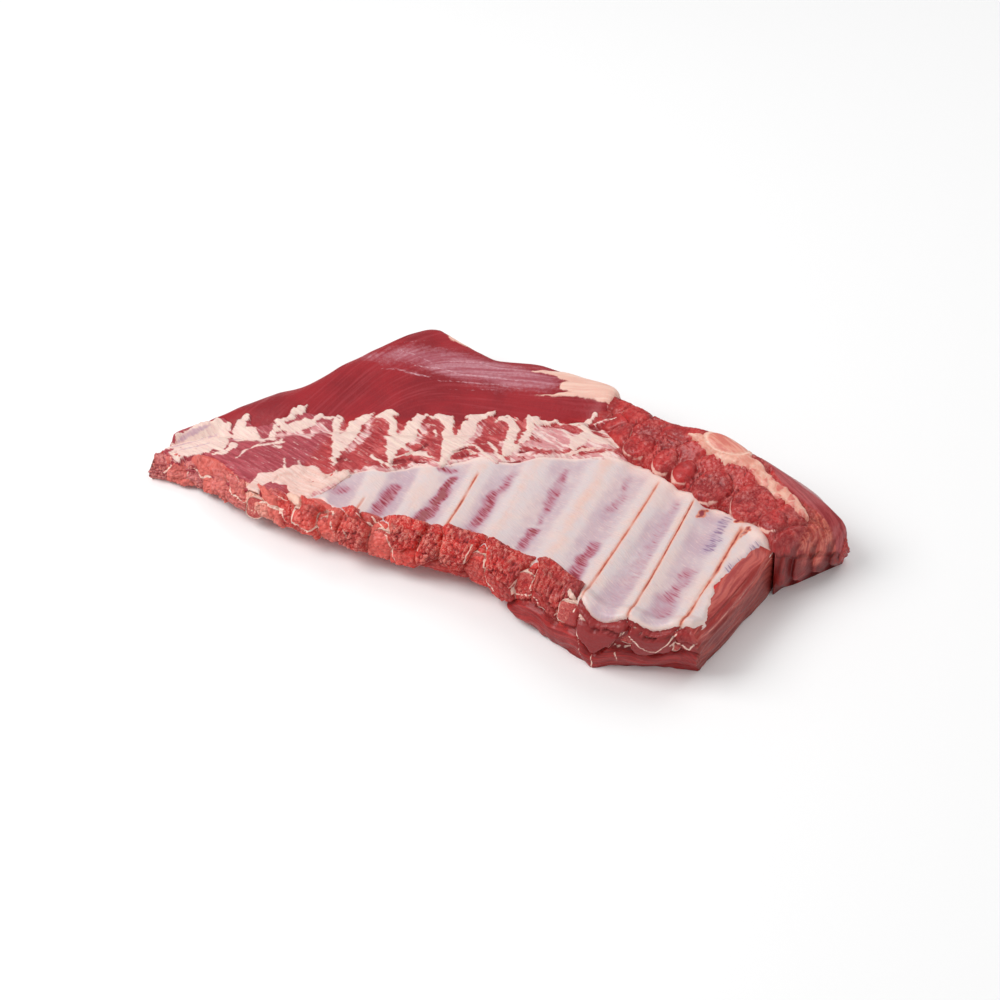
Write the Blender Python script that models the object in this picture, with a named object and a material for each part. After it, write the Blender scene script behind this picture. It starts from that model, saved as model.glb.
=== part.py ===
"""A raw rack of pork spare ribs, lying bone side up.

The rack's length runs along X and its sawn rib ends face -Y. Sizes are in millimetres, and turn into
metres as points are placed. Every piece is read from the same plan: columns that follow the ribs, and
rows that follow the edges of the silverskin and of the muscles that lie on the slab.
"""

import math

import bmesh
import bpy
import numpy as np
from mathutils import Matrix, Vector, noise

MM = 0.001
GAP = 0.35  # between a piece and the piece it lies on or in

# Where each rib meets the near edge, from the neck end (right) to the loin end (left)
RIB_X = (171, 137, 104, 68, 31, -1, -32, -64, -97, -128)
SLIT_DEPTH = (3.0, 3.0, 2.6, 0.6, 0.4, 2.0, 0.4, 1.4, 0.4, 0.0)  # the cut along each rib's crest
RIB_STATIONS = (0.1, 0.37, 0.63, 0.9)  # columns between one rib and the next, as shares of the pitch
TIP_COLUMNS = (-227, -219, -208, -195, -181, -167, -154, -141)
END_COLUMNS = (174, 181)
FLAP_COLUMNS = (195.2, 196.8, 203, 210, 216, 221, 225)  # of the brisket, past the end of the slab

RIDGE_LEFT, RIDGE_RIGHT = 1.8, 4.0  # how far the ribs stand up under the silverskin
SKIN_SAG = 3.0  # the inner face is hollow from edge to edge
SKIN_THICKNESS = 1.1
SKIN_MARGIN = 7.5  # from the near edge to the silverskin, where lumps of meat bulge over it
COVER_DROP = 8.0  # the step down in the slab, behind which the muscles lie on it
COVER_PLAY = 0.5  # between that step and their near edges
SKIRT_EDGE, SKIRT_CROWN = 2.6, 5.5
BRISKET_EDGE, BRISKET_FALL = 4.5, 9.0

BONE_WIDTH, BONE_HEIGHT = 13.0, 8.0
BONE_DEPTH = 8.5  # from the slab's face down to the middle of a bone
BONE_PROUD = 6.0  # how far the sawn ends stand out of the near edge's top line
BONE_SIDES, BONE_STEPS = 10, 3

MEAT_LUMP_X = (77, 45, 11, -21, -53, -86, -115)  # ends of the meat between the ribs, on the near edge
SCALLOP_X = (121, 154)  # the same meat at the neck end, cut shorter
TIP_LUMP_X = (-221, -207, -190, -174, -158, -142)
FINGERS = ((-104, 8), (-71, 7), (-40, 7), (-8, 8), (26, 9))  # middle and half width of each strip of fat
NODULES = ((76, 12), (96, 11), (115, 11), (137, 13), (162, 13), (182, 10))  # x and radius of the lumps of meat
#                                                                 along the brisket's near edge
BACK_NODULES = ((61, 7), (76, 9), (91, 8), (107, 6), (123, 5), (150, 6), (173, 5))  # and behind them
END_LUMPS = ((200, 5, 6), (211, 28, 7))  # x, y and radius of those at its right end


def curve(*points):
    """A smooth line y(x) through a few points, level outside them."""
    xs = [p[0] for p in points]
    ys = [p[1] for p in points]
    steps = [(ys[k + 1] - ys[k]) / (xs[k + 1] - xs[k]) for k in range(len(xs) - 1)]
    slopes = [steps[0]] + [(a + b) / 2 for a, b in zip(steps, steps[1:])] + [steps[-1]]

    def at(x):
        if x <= xs[0]:
            return ys[0]
        if x >= xs[-1]:
            return ys[-1]
        k = int(np.searchsorted(xs, x, side="right")) - 1
        span = xs[k + 1] - xs[k]
        t = (x - xs[k]) / span
        a = 2 * t**3 - 3 * t**2 + 1
        b = t**3 - 2 * t**2 + t
        c = 3 * t**2 - 2 * t**3
        d = t**3 - t**2
        return a * ys[k] + b * span * slopes[k] + c * ys[k + 1] + d * span * slopes[k + 1]

    return at


# Lines of the plan, from the near edge to the far one
foot_line = curve((-227, -90), (-193, -87), (-134, -99), (-80, -99), (-19, -97), (-4, -92), (30, -90),
                  (47, -93), (68, -103), (94, -109), (118, -114), (130, -110), (154, -98), (181, -89))
near_line = curve((-227, -90), (-205, -86), (-190, -85), (-160, -93), (-134, -98), (-109, -97), (-60, -96),
                  (-20, -90), (10, -86), (50, -91), (82, -95), (104, -106), (125, -110), (155, -107), (181, -98))
skin_line = curve((-227, -82), (-190, -74), (-152, -72), (-141, -66), (-126, -56), (-107, -50), (-77, -36),
                  (-44, -13), (-8, 6), (27, 26), (51, 36), (69, 37), (84, 32), (116, 20), (151, 11), (194, -10))
cover_line = curve((-227, -70), (-212, -58), (-200, -48), (-175, -44), (-150, -28), (-120, -12), (-80, 2),
                   (-45, 18), (-9, 40), (10, 55), (26, 66), (45, 58), (62, 47), (80, 38), (98, 32), (116, 24),
                   (133, 19), (151, 15), (164, 11), (180, 5), (194, -6), (203, 1), (211, 13), (219, 26), (226, 37))
fat_near_line = curve((60, 70), (80, 62), (105, 54), (119, 47), (149, 42), (185, 22), (205, 12), (225, 40))
fat_far_line = curve((60, 82), (80, 73), (105, 68), (130, 66), (156, 58), (187, 37), (205, 24), (225, 43))
far_line = curve((-227, -62), (-210, -35), (-197, -14), (-182, 3), (-164, 20), (-152, 48), (-138, 76),
                 (-120, 108), (-111, 112), (-96, 107), (-68, 99), (-54, 97), (-28, 104), (2, 103), (31, 101),
                 (56, 92), (80, 81), (95, 75), (126, 74), (152, 67), (177, 63), (199, 58), (212, 52), (225, 47))
rib_lean = curve((-227, -0.2), (-64, -0.18), (0, -0.12), (68, -0.08), (104, -0.03), (171, 0.0), (181, 0.14))

# Heights of the slab's face, of what lies on it, and of its lifted near edge
near_height = curve((-227, 15), (-190, 19), (-140, 27), (-82, 30), (-20, 33), (50, 37), (104, 41), (185, 42))
skin_height = curve((-227, 15), (-190, 20), (-150, 25), (-100, 27), (-44, 28), (27, 32), (80, 36), (130, 39),
                    (194, 43))
skirt_height = curve((-227, 16), (-197, 21), (-164, 28), (-138, 31), (-111, 32), (-28, 35), (31, 38))
brisket_height = curve((27, 43), (62, 46), (80, 50), (95, 54), (113, 58), (152, 58), (177, 55), (199, 50),
                       (212, 44), (226, 34))
near_lift = curve((-227, 0), (-193, 4), (-134, 10), (-80, 12), (-4, 12), (30, 10), (47, 8), (68, 4), (90, 0))

NEAR, SKIN_START, SKIN, TIP, COVER, FAR = 0, 1, 6, 8, 9, 14  # rows of the plan


def ease(t):
    """0 to 1 with level ends, for t from 0 to 1."""
    t = min(1.0, max(0.0, t))
    return t * t * (3 - 2 * t)


def rough(x, y, z, size, height):
    """A small uneven rise, the same on every run. Size is the width of its bumps."""
    return height * noise.noise(Vector((x, y, z)) / size)


def lean_foot(column):
    """Where the column that starts at this x on the near edge, and leans with the ribs, leaves the skin."""
    if column > END_COLUMNS[-1]:
        return column
    foot = column
    for _ in range(5):
        foot = column + rib_lean(column) * (skin_line(foot) - near_line(column))
    return foot


def column_at(x, y):
    """The column that passes through (x, y)."""
    column = x
    for _ in range(5):
        near = near_line(column)
        share = min(max(y, near), skin_line(x)) - near
        column = x - rib_lean(column) * share
    return min(column, END_COLUMNS[-1])


def plan_columns():
    between = []
    for left, right in zip(RIB_X[:0:-1], RIB_X[-2::-1]):
        between += [left] + [left + share * (right - left) for share in RIB_STATIONS]
    return list(TIP_COLUMNS) + between + [RIB_X[0]] + list(END_COLUMNS)


def plan_point(column, row):
    """(x, y) of a row on the column that starts at this x on the near edge."""
    foot = lean_foot(column)
    near, cover, far = near_line(column), cover_line(foot), far_line(foot)
    skin = min(skin_line(foot), cover - 3)
    first = min(near + 0.8 + SKIN_MARGIN * (1 - ease((column - 90) / 12)), skin - 3)
    on_brisket = ease((foot - 45) / 60)
    spread = [cover + (far - cover) * share for share in (0.12, 0.32, 0.56, 0.8)]
    fat = [fat_near_line(foot), fat_far_line(foot)]
    lines = [(cover + fat[0]) / 2, fat[0], (fat[0] + fat[1]) / 2, fat[1]]
    rows = [near]
    rows += [first + (skin - first) * k / 5 for k in range(6)]
    rows += [(skin + cover) / 2, cover - 0.8, cover]
    rows += [a + (b - a) * on_brisket for a, b in zip(spread, lines)]
    rows.append(far)
    y = rows[row]
    share = min(1.0, max(0.0, (y - near) / (skin_line(foot) - near)))
    return column + (foot - column) * share, y


def slab_face(x, y):
    """Height of the slab's upper face."""
    column = column_at(x, y)
    near, skin = near_line(column), skin_line(x)
    t = min(1.0, max(0.0, (y - near) / (skin - near)))
    height = near_height(column) * (1 - t) + skin_height(x) * t - SKIN_SAG * math.sin(math.pi * t)
    place = float(np.interp(column, RIB_X[::-1], range(len(RIB_X) - 1, -1, -1)))
    rib = round(place)
    on_ribs = ease((column + 150) / 30) * (1 - ease((y - skin) / 12))
    ridge = RIDGE_LEFT + (RIDGE_RIGHT - RIDGE_LEFT) * ease((column + 100) / 220)
    height += on_ribs * ridge * 0.5 * math.cos(2 * math.pi * place)
    if abs(place - rib) < 0.03 and column > RIB_X[-1] - 2:
        height -= SLIT_DEPTH[rib] * (1 - ease((t - 0.7) / 0.25))
    height += rough(x, y, 0, 22, 1.0)
    return height - (COVER_DROP if y > cover_line(x) - 0.1 else 0)


def skirt_face(x, y):
    """Height of the smooth muscle that lies on the slab's far side."""
    cover, far = cover_line(x), far_line(x)
    t = (y - cover) / (far - cover)
    edge = slab_face(x, cover) + SKIRT_EDGE
    height = edge + (skirt_height(x) - edge) * ease(t) + SKIRT_CROWN * math.sin(math.pi * t**0.8) ** 0.8
    return height + rough(x, y, 5, 40, 1.2)


def brisket_face(x, y):
    """Height of the coarse muscle at the neck end, which stands above the slab and folds over its end."""
    cover, far = cover_line(x), far_line(x)
    t = min(1.0, max(0.0, (y - cover) / (far - cover)))
    high = brisket_height(x)
    edge = skin_height(x) + BRISKET_EDGE
    edge += (high - 4 - edge) * ease((x - 196) / 12)
    height = edge + (high - edge) * ease(t / 0.75) - BRISKET_FALL * ease((t - 0.75) / 0.25)
    return height + rough(x, y, 9, 14, 2.0)


def mesh_object(name, bm, group=None):
    """A named object from a bmesh, with its faces pointing out and shaded smooth up to sharp edges."""
    bmesh.ops.recalc_face_normals(bm, faces=bm.faces[:])
    if bm.calc_volume(signed=True) < 0:
        bmesh.ops.reverse_faces(bm, faces=bm.faces[:])
    mesh = bpy.data.meshes.new(name)
    bm.to_mesh(mesh)
    bm.free()
    piece = bpy.data.objects.new(name, mesh)
    (group or rack).objects.link(piece)
    mesh.shade_smooth()
    mesh.set_sharp_from_angle(angle=math.radians(50))
    return piece


def box_cage(columns, rows, layers, place, keep=None):
    """A closed box of columns x rows x layers faces, with its points put where place(i, j, w) says.

    w runs from 0, the underside, to 1, the top. keep(i, j) leaves cells of the plan out."""
    bm = bmesh.new()
    bmesh.ops.create_grid(bm, x_segments=columns, y_segments=rows, size=1)

    def grid_place(co):
        return round((co.x + 1) / 2 * columns), round((co.y + 1) / 2 * rows)

    if keep:
        spare = []
        for face in bm.faces:
            corner = grid_place(face.calc_center_median() - Vector((1 / columns, 1 / rows, 0)))
            if not keep(*corner):
                spare.append(face)
        bmesh.ops.delete(bm, geom=spare, context="FACES")
    raised = bmesh.ops.extrude_face_region(bm, geom=bm.faces[:])["geom"]
    bmesh.ops.translate(bm, verts=[g for g in raised if isinstance(g, bmesh.types.BMVert)], vec=(0, 0, 1))
    if layers > 1:
        upright = [e for e in bm.edges if abs(e.verts[0].co.z - e.verts[1].co.z) > 0.5]
        bmesh.ops.subdivide_edges(bm, edges=upright, cuts=layers - 1, use_grid_fill=True)
    for v in bm.verts:
        v.co = Vector(place(*grid_place(v.co), v.co.z)) * MM
    return bm


def outward(i, j, columns, rows):
    """The way out of the plan at a border point, and nothing inside it."""
    way = Vector(((i == columns) - (i == 0), (j == rows) - (j == 0)))
    return way.normalized()


def ball(name, centre, radii, group, turn=0.0):
    """A small closed lump of meat, an uneven and slightly square ellipsoid."""
    bm = bmesh.new()
    bmesh.ops.create_icosphere(bm, subdivisions=2, radius=1)
    for v in bm.verts:
        square = sum(abs(c) ** 4 for c in v.co) ** (-1 / 4)
        v.co *= square * (1 + rough(*(v.co * 12 + Vector(centre)), 9, 0.2))
    form = Matrix.Rotation(turn, 4, "Y") @ Matrix.Diagonal((*radii, 1))
    bmesh.ops.transform(bm, matrix=form, verts=bm.verts[:])
    bmesh.ops.translate(bm, vec=centre, verts=bm.verts[:])
    bmesh.ops.scale(bm, vec=(MM, MM, MM), verts=bm.verts[:])
    return mesh_object(name, bm, group)


def new_collection(name):
    group = bpy.data.collections.new(name)
    bpy.context.scene.collection.children.link(group)
    return group


def combine(piece, group, operation):
    """Joins a collection's objects to a piece, or cuts them out of it, and removes them."""
    modifier = piece.modifiers.new(operation.lower(), "BOOLEAN")
    modifier.operation = operation
    modifier.operand_type = "COLLECTION"
    modifier.collection = group
    modifier.solver = "EXACT"
    bpy.context.view_layer.update()
    piece.data = bpy.data.meshes.new_from_object(piece.evaluated_get(bpy.context.evaluated_depsgraph_get()))
    piece.modifiers.clear()
    for tool in list(group.objects):
        bpy.data.objects.remove(tool)
    bpy.data.collections.remove(group)


def flatten_base(piece):
    """Makes one face of the level faces that the rack rests on."""
    bm = bmesh.new()
    bm.from_mesh(piece.data)
    base = [f for f in bm.faces if all(abs(v.co.z) < 1e-7 for v in f.verts)]
    inner = [e for e in {e for f in base for e in f.edges} if all(f in base for f in e.link_faces)]
    bmesh.ops.dissolve_edges(bm, edges=inner, use_verts=True)
    bmesh.ops.triangulate(bm, faces=[f for f in bm.faces if all(abs(v.co.z) < 1e-7 for v in f.verts)])
    bm.to_mesh(piece.data)
    bm.free()


def centre_rack():
    """Puts the origin under the middle of the rack's bounding box."""
    points = np.array([v.co for piece in rack.objects for v in piece.data.vertices])
    low, high = points.min(axis=0), points.max(axis=0)
    shift = Matrix.Translation((-(low[0] + high[0]) / 2, -(low[1] + high[1]) / 2, -low[2]))
    for piece in rack.objects:
        piece.data.transform(shift)


def finish(piece, colour, roughness):
    material = bpy.data.materials.new(piece.name)
    material.use_nodes = True
    shader = material.node_tree.nodes["Principled BSDF"]
    shader.inputs["Base Color"].default_value = (*colour, 1)
    shader.inputs["Roughness"].default_value = roughness
    piece.data.materials.clear()
    piece.data.materials.append(material)


def slab(columns):
    """The meat of the rack, on which everything else lies and in which the bones run."""
    last = len(columns) - 1

    def place(i, j, w):
        column = columns[i]
        x, y = plan_point(column, j)
        top = slab_face(x, y)
        near = near_line(column)
        foot = near_lift(x) * (1 - ease((y - near) / 42))  # the loin end's near edge curls up off the surface
        height = foot + (top - foot) * w
        side = outward(i, j, last, FAR)
        if i == last and y > skin_line(x) - 8:
            side.x = 0  # the brisket hangs past the end here
        swell = 2.0 * math.sin(math.pi * w) + (rough(x, y, height, 12, 2.0) if 0 < w < 1 else 0)
        inset = side * (swell - 2 * (1 - w))
        if j == FAR:
            inset.y *= ease((x + 235) / 60)
        if j == NEAR:
            inset.y = -swell - 5 * ease((column - 45) / 25) * math.sin(math.pi * min(1, 1.5 * w))
        lean = (foot_line(column) - near) * (1 - w) * (1 - ease((y - near) / 32))
        return x + inset.x, y + inset.y + lean, height

    piece = mesh_object("slab_meat", box_cage(last, FAR, 4, place))
    combine(piece, edge_lumps(), "UNION")
    return piece


def edge_lumps():
    """Lumps of meat that bulge along the near edge, where the rack was sawn off the loin."""
    group = new_collection("edge lumps")
    for k, x in enumerate(MEAT_LUMP_X):
        near, top = near_line(x), near_height(x)
        ball(f"lump {k}", (x, near - 2.5, top - 9.5), (11 + k % 2, 8, 11), group, 0.25 * (k % 3 - 1))
        ball(f"low lump {k}", (x - 14, near - 1, top * 0.38), (11, 8, top * 0.25), group)
    for k, x in enumerate(SCALLOP_X):
        near, top = near_line(x), near_height(x)
        ball(f"scallop {k}", (x, near - 1, top - 14), (14, 6, 10), group)
        ball(f"low scallop {k}", (x - 17, near - 1, top - 24), (12, 6, 9), group)
    for k, x in enumerate(TIP_LUMP_X):
        near, top = near_line(x), near_height(x)
        ball(f"tip lump {k}", (x, near, top * 0.52), (9 + k % 2 * 2, 6, top * 0.38), group)
    return group


def bone_mesh(rib, swell, reach):
    """A flat oval rib that follows the slab's face. Swell widens it and reach makes its sawn end longer."""
    column = RIB_X[rib]
    foot = lean_foot(column)
    near, skin = near_line(column), skin_line(foot)
    start, stop = near - (BONE_PROUD if column < 90 else BONE_PROUD / 2), skin - 4
    bm = bmesh.new()
    bmesh.ops.create_cone(bm, cap_ends=True, segments=BONE_SIDES, radius1=1, radius2=1, depth=2)
    lengthwise = [e for e in bm.edges if abs(e.verts[0].co.z - e.verts[1].co.z) > 1]
    bmesh.ops.subdivide_edges(bm, edges=lengthwise, cuts=BONE_STEPS - 1, use_grid_fill=True)
    for v in bm.verts:
        t = (v.co.z + 1) / 2
        y = start + (stop - start) * t
        along = min(1.0, max(0.0, (y - near) / (skin - near)))
        middle = near_height(column) * (1 - along) + skin_height(foot) * along
        middle -= SKIN_SAG * math.sin(math.pi * along) + BONE_DEPTH
        taper = 1 - 0.25 * t
        y += swell * (t > 0.99)
        v.co = Vector((
            column + (foot - column) * along + v.co.x * (BONE_WIDTH / 2 * taper + swell),
            y,
            middle + v.co.y * (BONE_HEIGHT / 2 * taper + swell),
        )) * MM
    if reach:
        end = min(bm.faces, key=lambda f: f.calc_center_median().y)
        longer = bmesh.ops.extrude_face_region(bm, geom=[end])["geom"]
        way = (0, -reach * MM, 0)
        bmesh.ops.translate(bm, verts=[g for g in longer if isinstance(g, bmesh.types.BMVert)], vec=way)
        bmesh.ops.delete(bm, geom=[end], context="FACES_ONLY")
    return bm


def bones(meat):
    """The rib bones, each in a channel of its own that opens at the sawn edge."""
    cutters = new_collection("bone channels")
    ribs = []
    for rib in range(len(RIB_X)):
        mesh_object(f"channel {rib}", bone_mesh(rib, GAP, 30), cutters)
        ribs.append(mesh_object(f"rib_bone_{rib + 1:02d}", bone_mesh(rib, 0, 0)))
    combine(meat, cutters, "DIFFERENCE")
    return ribs


def silverskin(columns):
    """The thin white skin over the ribs, with the strips of fat that reach from it to the skirt."""
    shown = [c for c in columns if lean_foot(c) > -210]
    feet = [lean_foot(c) for c in shown]

    def place(i, j, w):
        x, y = plan_point(shown[i], SKIN_START + j)
        return x, y, slab_face(x, y) + GAP + w * SKIN_THICKNESS

    def keep(i, j):
        middle = (feet[i] + feet[i + 1]) / 2
        if middle < -150:
            return j >= SKIN - SKIN_START - 1  # only the veined fat along the skirt, at the loin end
        if j < SKIN - SKIN_START or middle < -114 or middle > 52:
            return True
        return any(abs(middle - x) < half for x, half in FINGERS)

    return mesh_object("silverskin", box_cage(len(shown) - 1, TIP - SKIN_START, 1, place, keep))


def skirt(columns):
    """The smooth thin muscle over the loin end's far side."""
    shown = [c for c in columns if -213 < lean_foot(c) < 31]

    def place(i, j, w):
        x, y = plan_point(shown[i], COVER + j)
        low, high = slab_face(x, y) + GAP, skirt_face(x, y)
        y += COVER_PLAY * (j == 0)
        swell = 2.2 * math.sin(math.pi * w)
        side = outward(i, j, len(shown) - 1, FAR - COVER)
        return x + min(0, side.x) * swell, y + max(0, side.y) * swell, low + (high - low) * w

    return mesh_object("skirt_muscle", box_cage(len(shown) - 1, FAR - COVER, 3, place)), shown[-1]


def brisket(columns, start):
    """The coarse muscle over the neck end, with its row of lumps. It folds over the slab's end to the floor."""
    shown = [c for c in columns if c >= start] + list(FLAP_COLUMNS)
    last = len(shown) - 1

    def place(i, j, w):
        x, y = plan_point(shown[i], COVER + j)
        past_slab = shown[i] > FLAP_COLUMNS[0]
        low, high = 0 if past_slab else slab_face(x, y) + GAP, brisket_face(x, y)
        if fat_cells(x) and FAT_ROWS[0] < j < FAT_ROWS[1]:
            high -= FAT_SUNK
        height = low + (high - low) * w
        y += COVER_PLAY * (j == 0)
        side = outward(i, j, last, FAR - COVER)
        out = side * (1.5 * math.sin(math.pi * w) + (rough(x, y, height, 10, 1.4) if 0 < w < 1 else 0))
        if j == 0 and not past_slab or i == 0:
            out = Vector((0, 0))
        if j == 0 and past_slab:
            out.y += rough(x, y, height, 9, 4) * (1 - ease((x - 203) / 12))  # the fold hangs unevenly
        return x + out.x + (GAP if i == 0 else 0), y + out.y, height

    piece = mesh_object("brisket", box_cage(last, FAR - COVER, 3, place))
    lumps = new_collection("nodules")
    places = [(x, cover_line(x) + r + 1.5, r) for x, r in NODULES]
    places += [(x, fat_near_line(x) - r - 1, r) for x, r in BACK_NODULES]
    for k, (x, y, radius) in enumerate(places + list(END_LUMPS)):
        height = brisket_face(x, y) + 3 - 0.5 * radius
        ball(f"nodule {k}", (x, y, height), (radius, radius * 0.8, radius * 0.5), lumps)
    combine(piece, lumps, "UNION")
    return piece


FAT_ROWS = (2, 4)  # rows of the brisket, counted from its near edge, between which the fat lies
FAT_SUNK = 2.5
FAT_PROUD = 1.2


def fat_cells(x):
    return 106 < x < 204


def brisket_fat(columns):
    """The marbled fat and cartilage along the top of the brisket."""
    shown = [c for c in columns + list(FLAP_COLUMNS) if 102 < lean_foot(c) < 205]

    def place(i, j, w):
        x, y = plan_point(shown[i], COVER + FAT_ROWS[0] + j)
        low = brisket_face(x, y) + GAP
        if j == 1 and fat_cells(x):
            low -= FAT_SUNK
        high = brisket_face(x, y) + GAP + FAT_PROUD
        return x, y, low + (high - low) * w

    return mesh_object("brisket_fat", box_cage(len(shown) - 1, FAT_ROWS[1] - FAT_ROWS[0], 1, place))


for thing in list(bpy.data.objects):
    bpy.data.objects.remove(thing)
rack = new_collection("pork_spare_ribs")
plan = plan_columns()
meat = slab(plan)
rib_bones = bones(meat)
flatten_base(meat)
finish(meat, (0.48, 0.07, 0.06), 0.45)
for bone in rib_bones:
    finish(bone, (0.75, 0.42, 0.34), 0.5)
finish(silverskin(plan), (0.80, 0.66, 0.64), 0.35)
muscle, seam = skirt(plan)
finish(muscle, (0.38, 0.03, 0.05), 0.4)
finish(brisket(plan, seam), (0.42, 0.05, 0.05), 0.45)
finish(brisket_fat(plan), (0.82, 0.55, 0.42), 0.4)
centre_rack()
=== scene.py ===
# Raw rack of pork spare ribs, bone side up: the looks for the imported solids.
# Lengths below are millimetres on the rack's plan: x along it, y across it, z up.
import math

import bmesh
import bpy
import numpy as np
from mathutils import Matrix, Vector


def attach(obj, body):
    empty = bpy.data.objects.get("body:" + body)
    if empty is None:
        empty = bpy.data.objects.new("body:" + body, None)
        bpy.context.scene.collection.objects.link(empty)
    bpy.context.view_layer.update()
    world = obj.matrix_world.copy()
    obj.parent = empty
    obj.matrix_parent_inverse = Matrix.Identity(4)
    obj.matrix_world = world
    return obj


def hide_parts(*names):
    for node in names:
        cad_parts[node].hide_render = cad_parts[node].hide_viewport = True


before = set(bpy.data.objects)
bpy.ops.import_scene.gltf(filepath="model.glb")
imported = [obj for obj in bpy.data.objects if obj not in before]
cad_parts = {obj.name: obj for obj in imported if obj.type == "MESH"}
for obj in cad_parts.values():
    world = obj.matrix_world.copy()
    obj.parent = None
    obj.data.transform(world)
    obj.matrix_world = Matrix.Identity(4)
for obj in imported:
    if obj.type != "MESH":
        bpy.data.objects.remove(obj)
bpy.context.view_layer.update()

planShift = (1.954, 2.513)  # from the plan's own zero to the middle of the rack
ribX = (170, 138, 105, 70, 27, -5, -34, -66, -97, -128)  # ribs at the sawn edge, neck end first
skinDepth = 1.4  # the meat lies this far under the ribbed face
noiseSize = 48
noiseBlock = np.random.default_rng(11).random((noiseSize,) * 3) * 2 - 1


def line(*points):
    # a smooth curve y(x) through a few points, level outside them
    xs, ys = np.array(points, float).T
    steps = np.diff(ys) / np.diff(xs)
    slopes = np.concatenate([steps[:1], (steps[1:] + steps[:-1]) / 2, steps[-1:]])

    def at(x):
        x = np.clip(np.asarray(x, float), xs[0], xs[-1])
        k = np.clip(np.searchsorted(xs, x, side="right") - 1, 0, len(xs) - 2)
        span = xs[k + 1] - xs[k]
        t = (x - xs[k]) / span
        return ((2 * t**3 - 3 * t**2 + 1) * ys[k] + (t**3 - 2 * t**2 + t) * span * slopes[k]
                + (3 * t**2 - 2 * t**3) * ys[k + 1] + (t**3 - t**2) * span * slopes[k + 1])
    return at


def corners(*points):
    # the same through straight stretches, for ragged borders
    xs, ys = np.array(points, float).T
    return lambda x: np.interp(x, xs, ys)


# borders y(x) from the near side to the far one, how far the ribs lean, and heights z(x)
footLine = line(
    (-227, -90), (-193, -87), (-134, -99), (-80, -99), (-19, -97), (-4, -92), (30, -90), (47, -93), (68, -103),
    (94, -109), (118, -114), (130, -110), (154, -98), (181, -89))
nearLine = line(
    (-227, -90), (-205, -86), (-190, -85), (-160, -93), (-134, -98), (-109, -97), (-60, -96), (-20, -90), (10, -86),
    (50, -91), (82, -95), (104, -106), (125, -110), (155, -107), (181, -98))
skinLine = line(
    (-227, -82), (-190, -74), (-152, -72), (-141, -66), (-126, -56), (-107, -50), (-77, -36), (-44, -13), (-8, 6),
    (27, 26), (51, 36), (69, 37), (84, 32), (116, 20), (151, 11), (194, -10))
coverLine = line(
    (-227, -70), (-212, -58), (-200, -48), (-175, -44), (-150, -28), (-120, -12), (-80, 2), (-45, 18), (-9, 40),
    (10, 55), (26, 66), (45, 58), (62, 47), (80, 38), (98, 32), (116, 24), (133, 19), (151, 15), (164, 11),
    (180, 5), (194, -6), (203, 1), (211, 13), (219, 26), (226, 37))
farLine = line(
    (-227, -62), (-210, -35), (-197, -14), (-182, 3), (-164, 20), (-152, 48), (-138, 76), (-120, 108), (-111, 112),
    (-96, 107), (-68, 99), (-54, 97), (-28, 104), (2, 103), (31, 101), (56, 92), (80, 81), (95, 75), (126, 74),
    (152, 67), (177, 63), (199, 58), (212, 52), (225, 47))
ribLean = line((-227, -0.2), (-64, -0.18), (0, -0.12), (68, -0.08), (104, -0.03), (171, 0.0), (181, 0.14))
nearHeight = line((-227, 15), (-190, 19), (-140, 27), (-82, 30), (-20, 33), (50, 37), (104, 41), (185, 42))
skinHeight = line(
    (-227, 15), (-190, 20), (-150, 25), (-100, 27), (-44, 28), (27, 32), (80, 36), (130, 39), (194, 43))
skirtHeight = line((-227, 16), (-197, 21), (-164, 28), (-138, 31), (-111, 32), (-28, 35), (31, 38))
brisketHeight = line(
    (27, 43), (62, 46), (80, 50), (95, 54), (113, 58), (152, 58), (177, 55), (199, 50), (212, 44), (226, 34))
nearLift = line((-227, 0), (-193, 4), (-134, 10), (-80, 12), (-4, 12), (30, 10), (47, 8), (68, 4), (90, 0))


def ease(t):
    t = np.clip(t, 0, 1)
    return t * t * (3 - 2 * t)


def rounded(t):
    # a quarter circle: 0 at a border, 1 inside it
    return np.sqrt(1 - (1 - np.clip(t, 0, 1)) ** 2)


def bell(distance, width):
    # 1 in the middle, falling off on both sides
    return np.exp(-(distance / width) ** 2)


def grain(x, y, z, size):
    # soft lumps between -1 and 1, about one every `size` millimetres
    spots = [np.asarray(c, float) / size + 500 + k * 7.3 for k, c in enumerate((x, y, z))]
    cells = [np.floor(s).astype(int) for s in spots]
    parts = [s - c for s, c in zip(spots, cells)]
    parts = [p * p * (3 - 2 * p) for p in parts]
    total = 0
    for corner in np.ndindex(2, 2, 2):
        share = math.prod(p if on else 1 - p for p, on in zip(parts, corner))
        total = total + share * noiseBlock[tuple((c + on) % noiseSize for c, on in zip(cells, corner))]
    return total


def crumble(x, y, z, size):
    # the same with smaller lumps on them
    return grain(x, y, z, size) + grain(x, y, z, size * 0.52) * 0.5 + grain(x, y, z, size * 0.27) * 0.28


def warped(x, y, size, amount, seeds=(3, 13)):
    # the same spots moved about a little, which makes borders ragged
    return x + grain(x, y, seeds[0], size) * amount, y + grain(x, y, seeds[1], size) * amount


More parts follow.
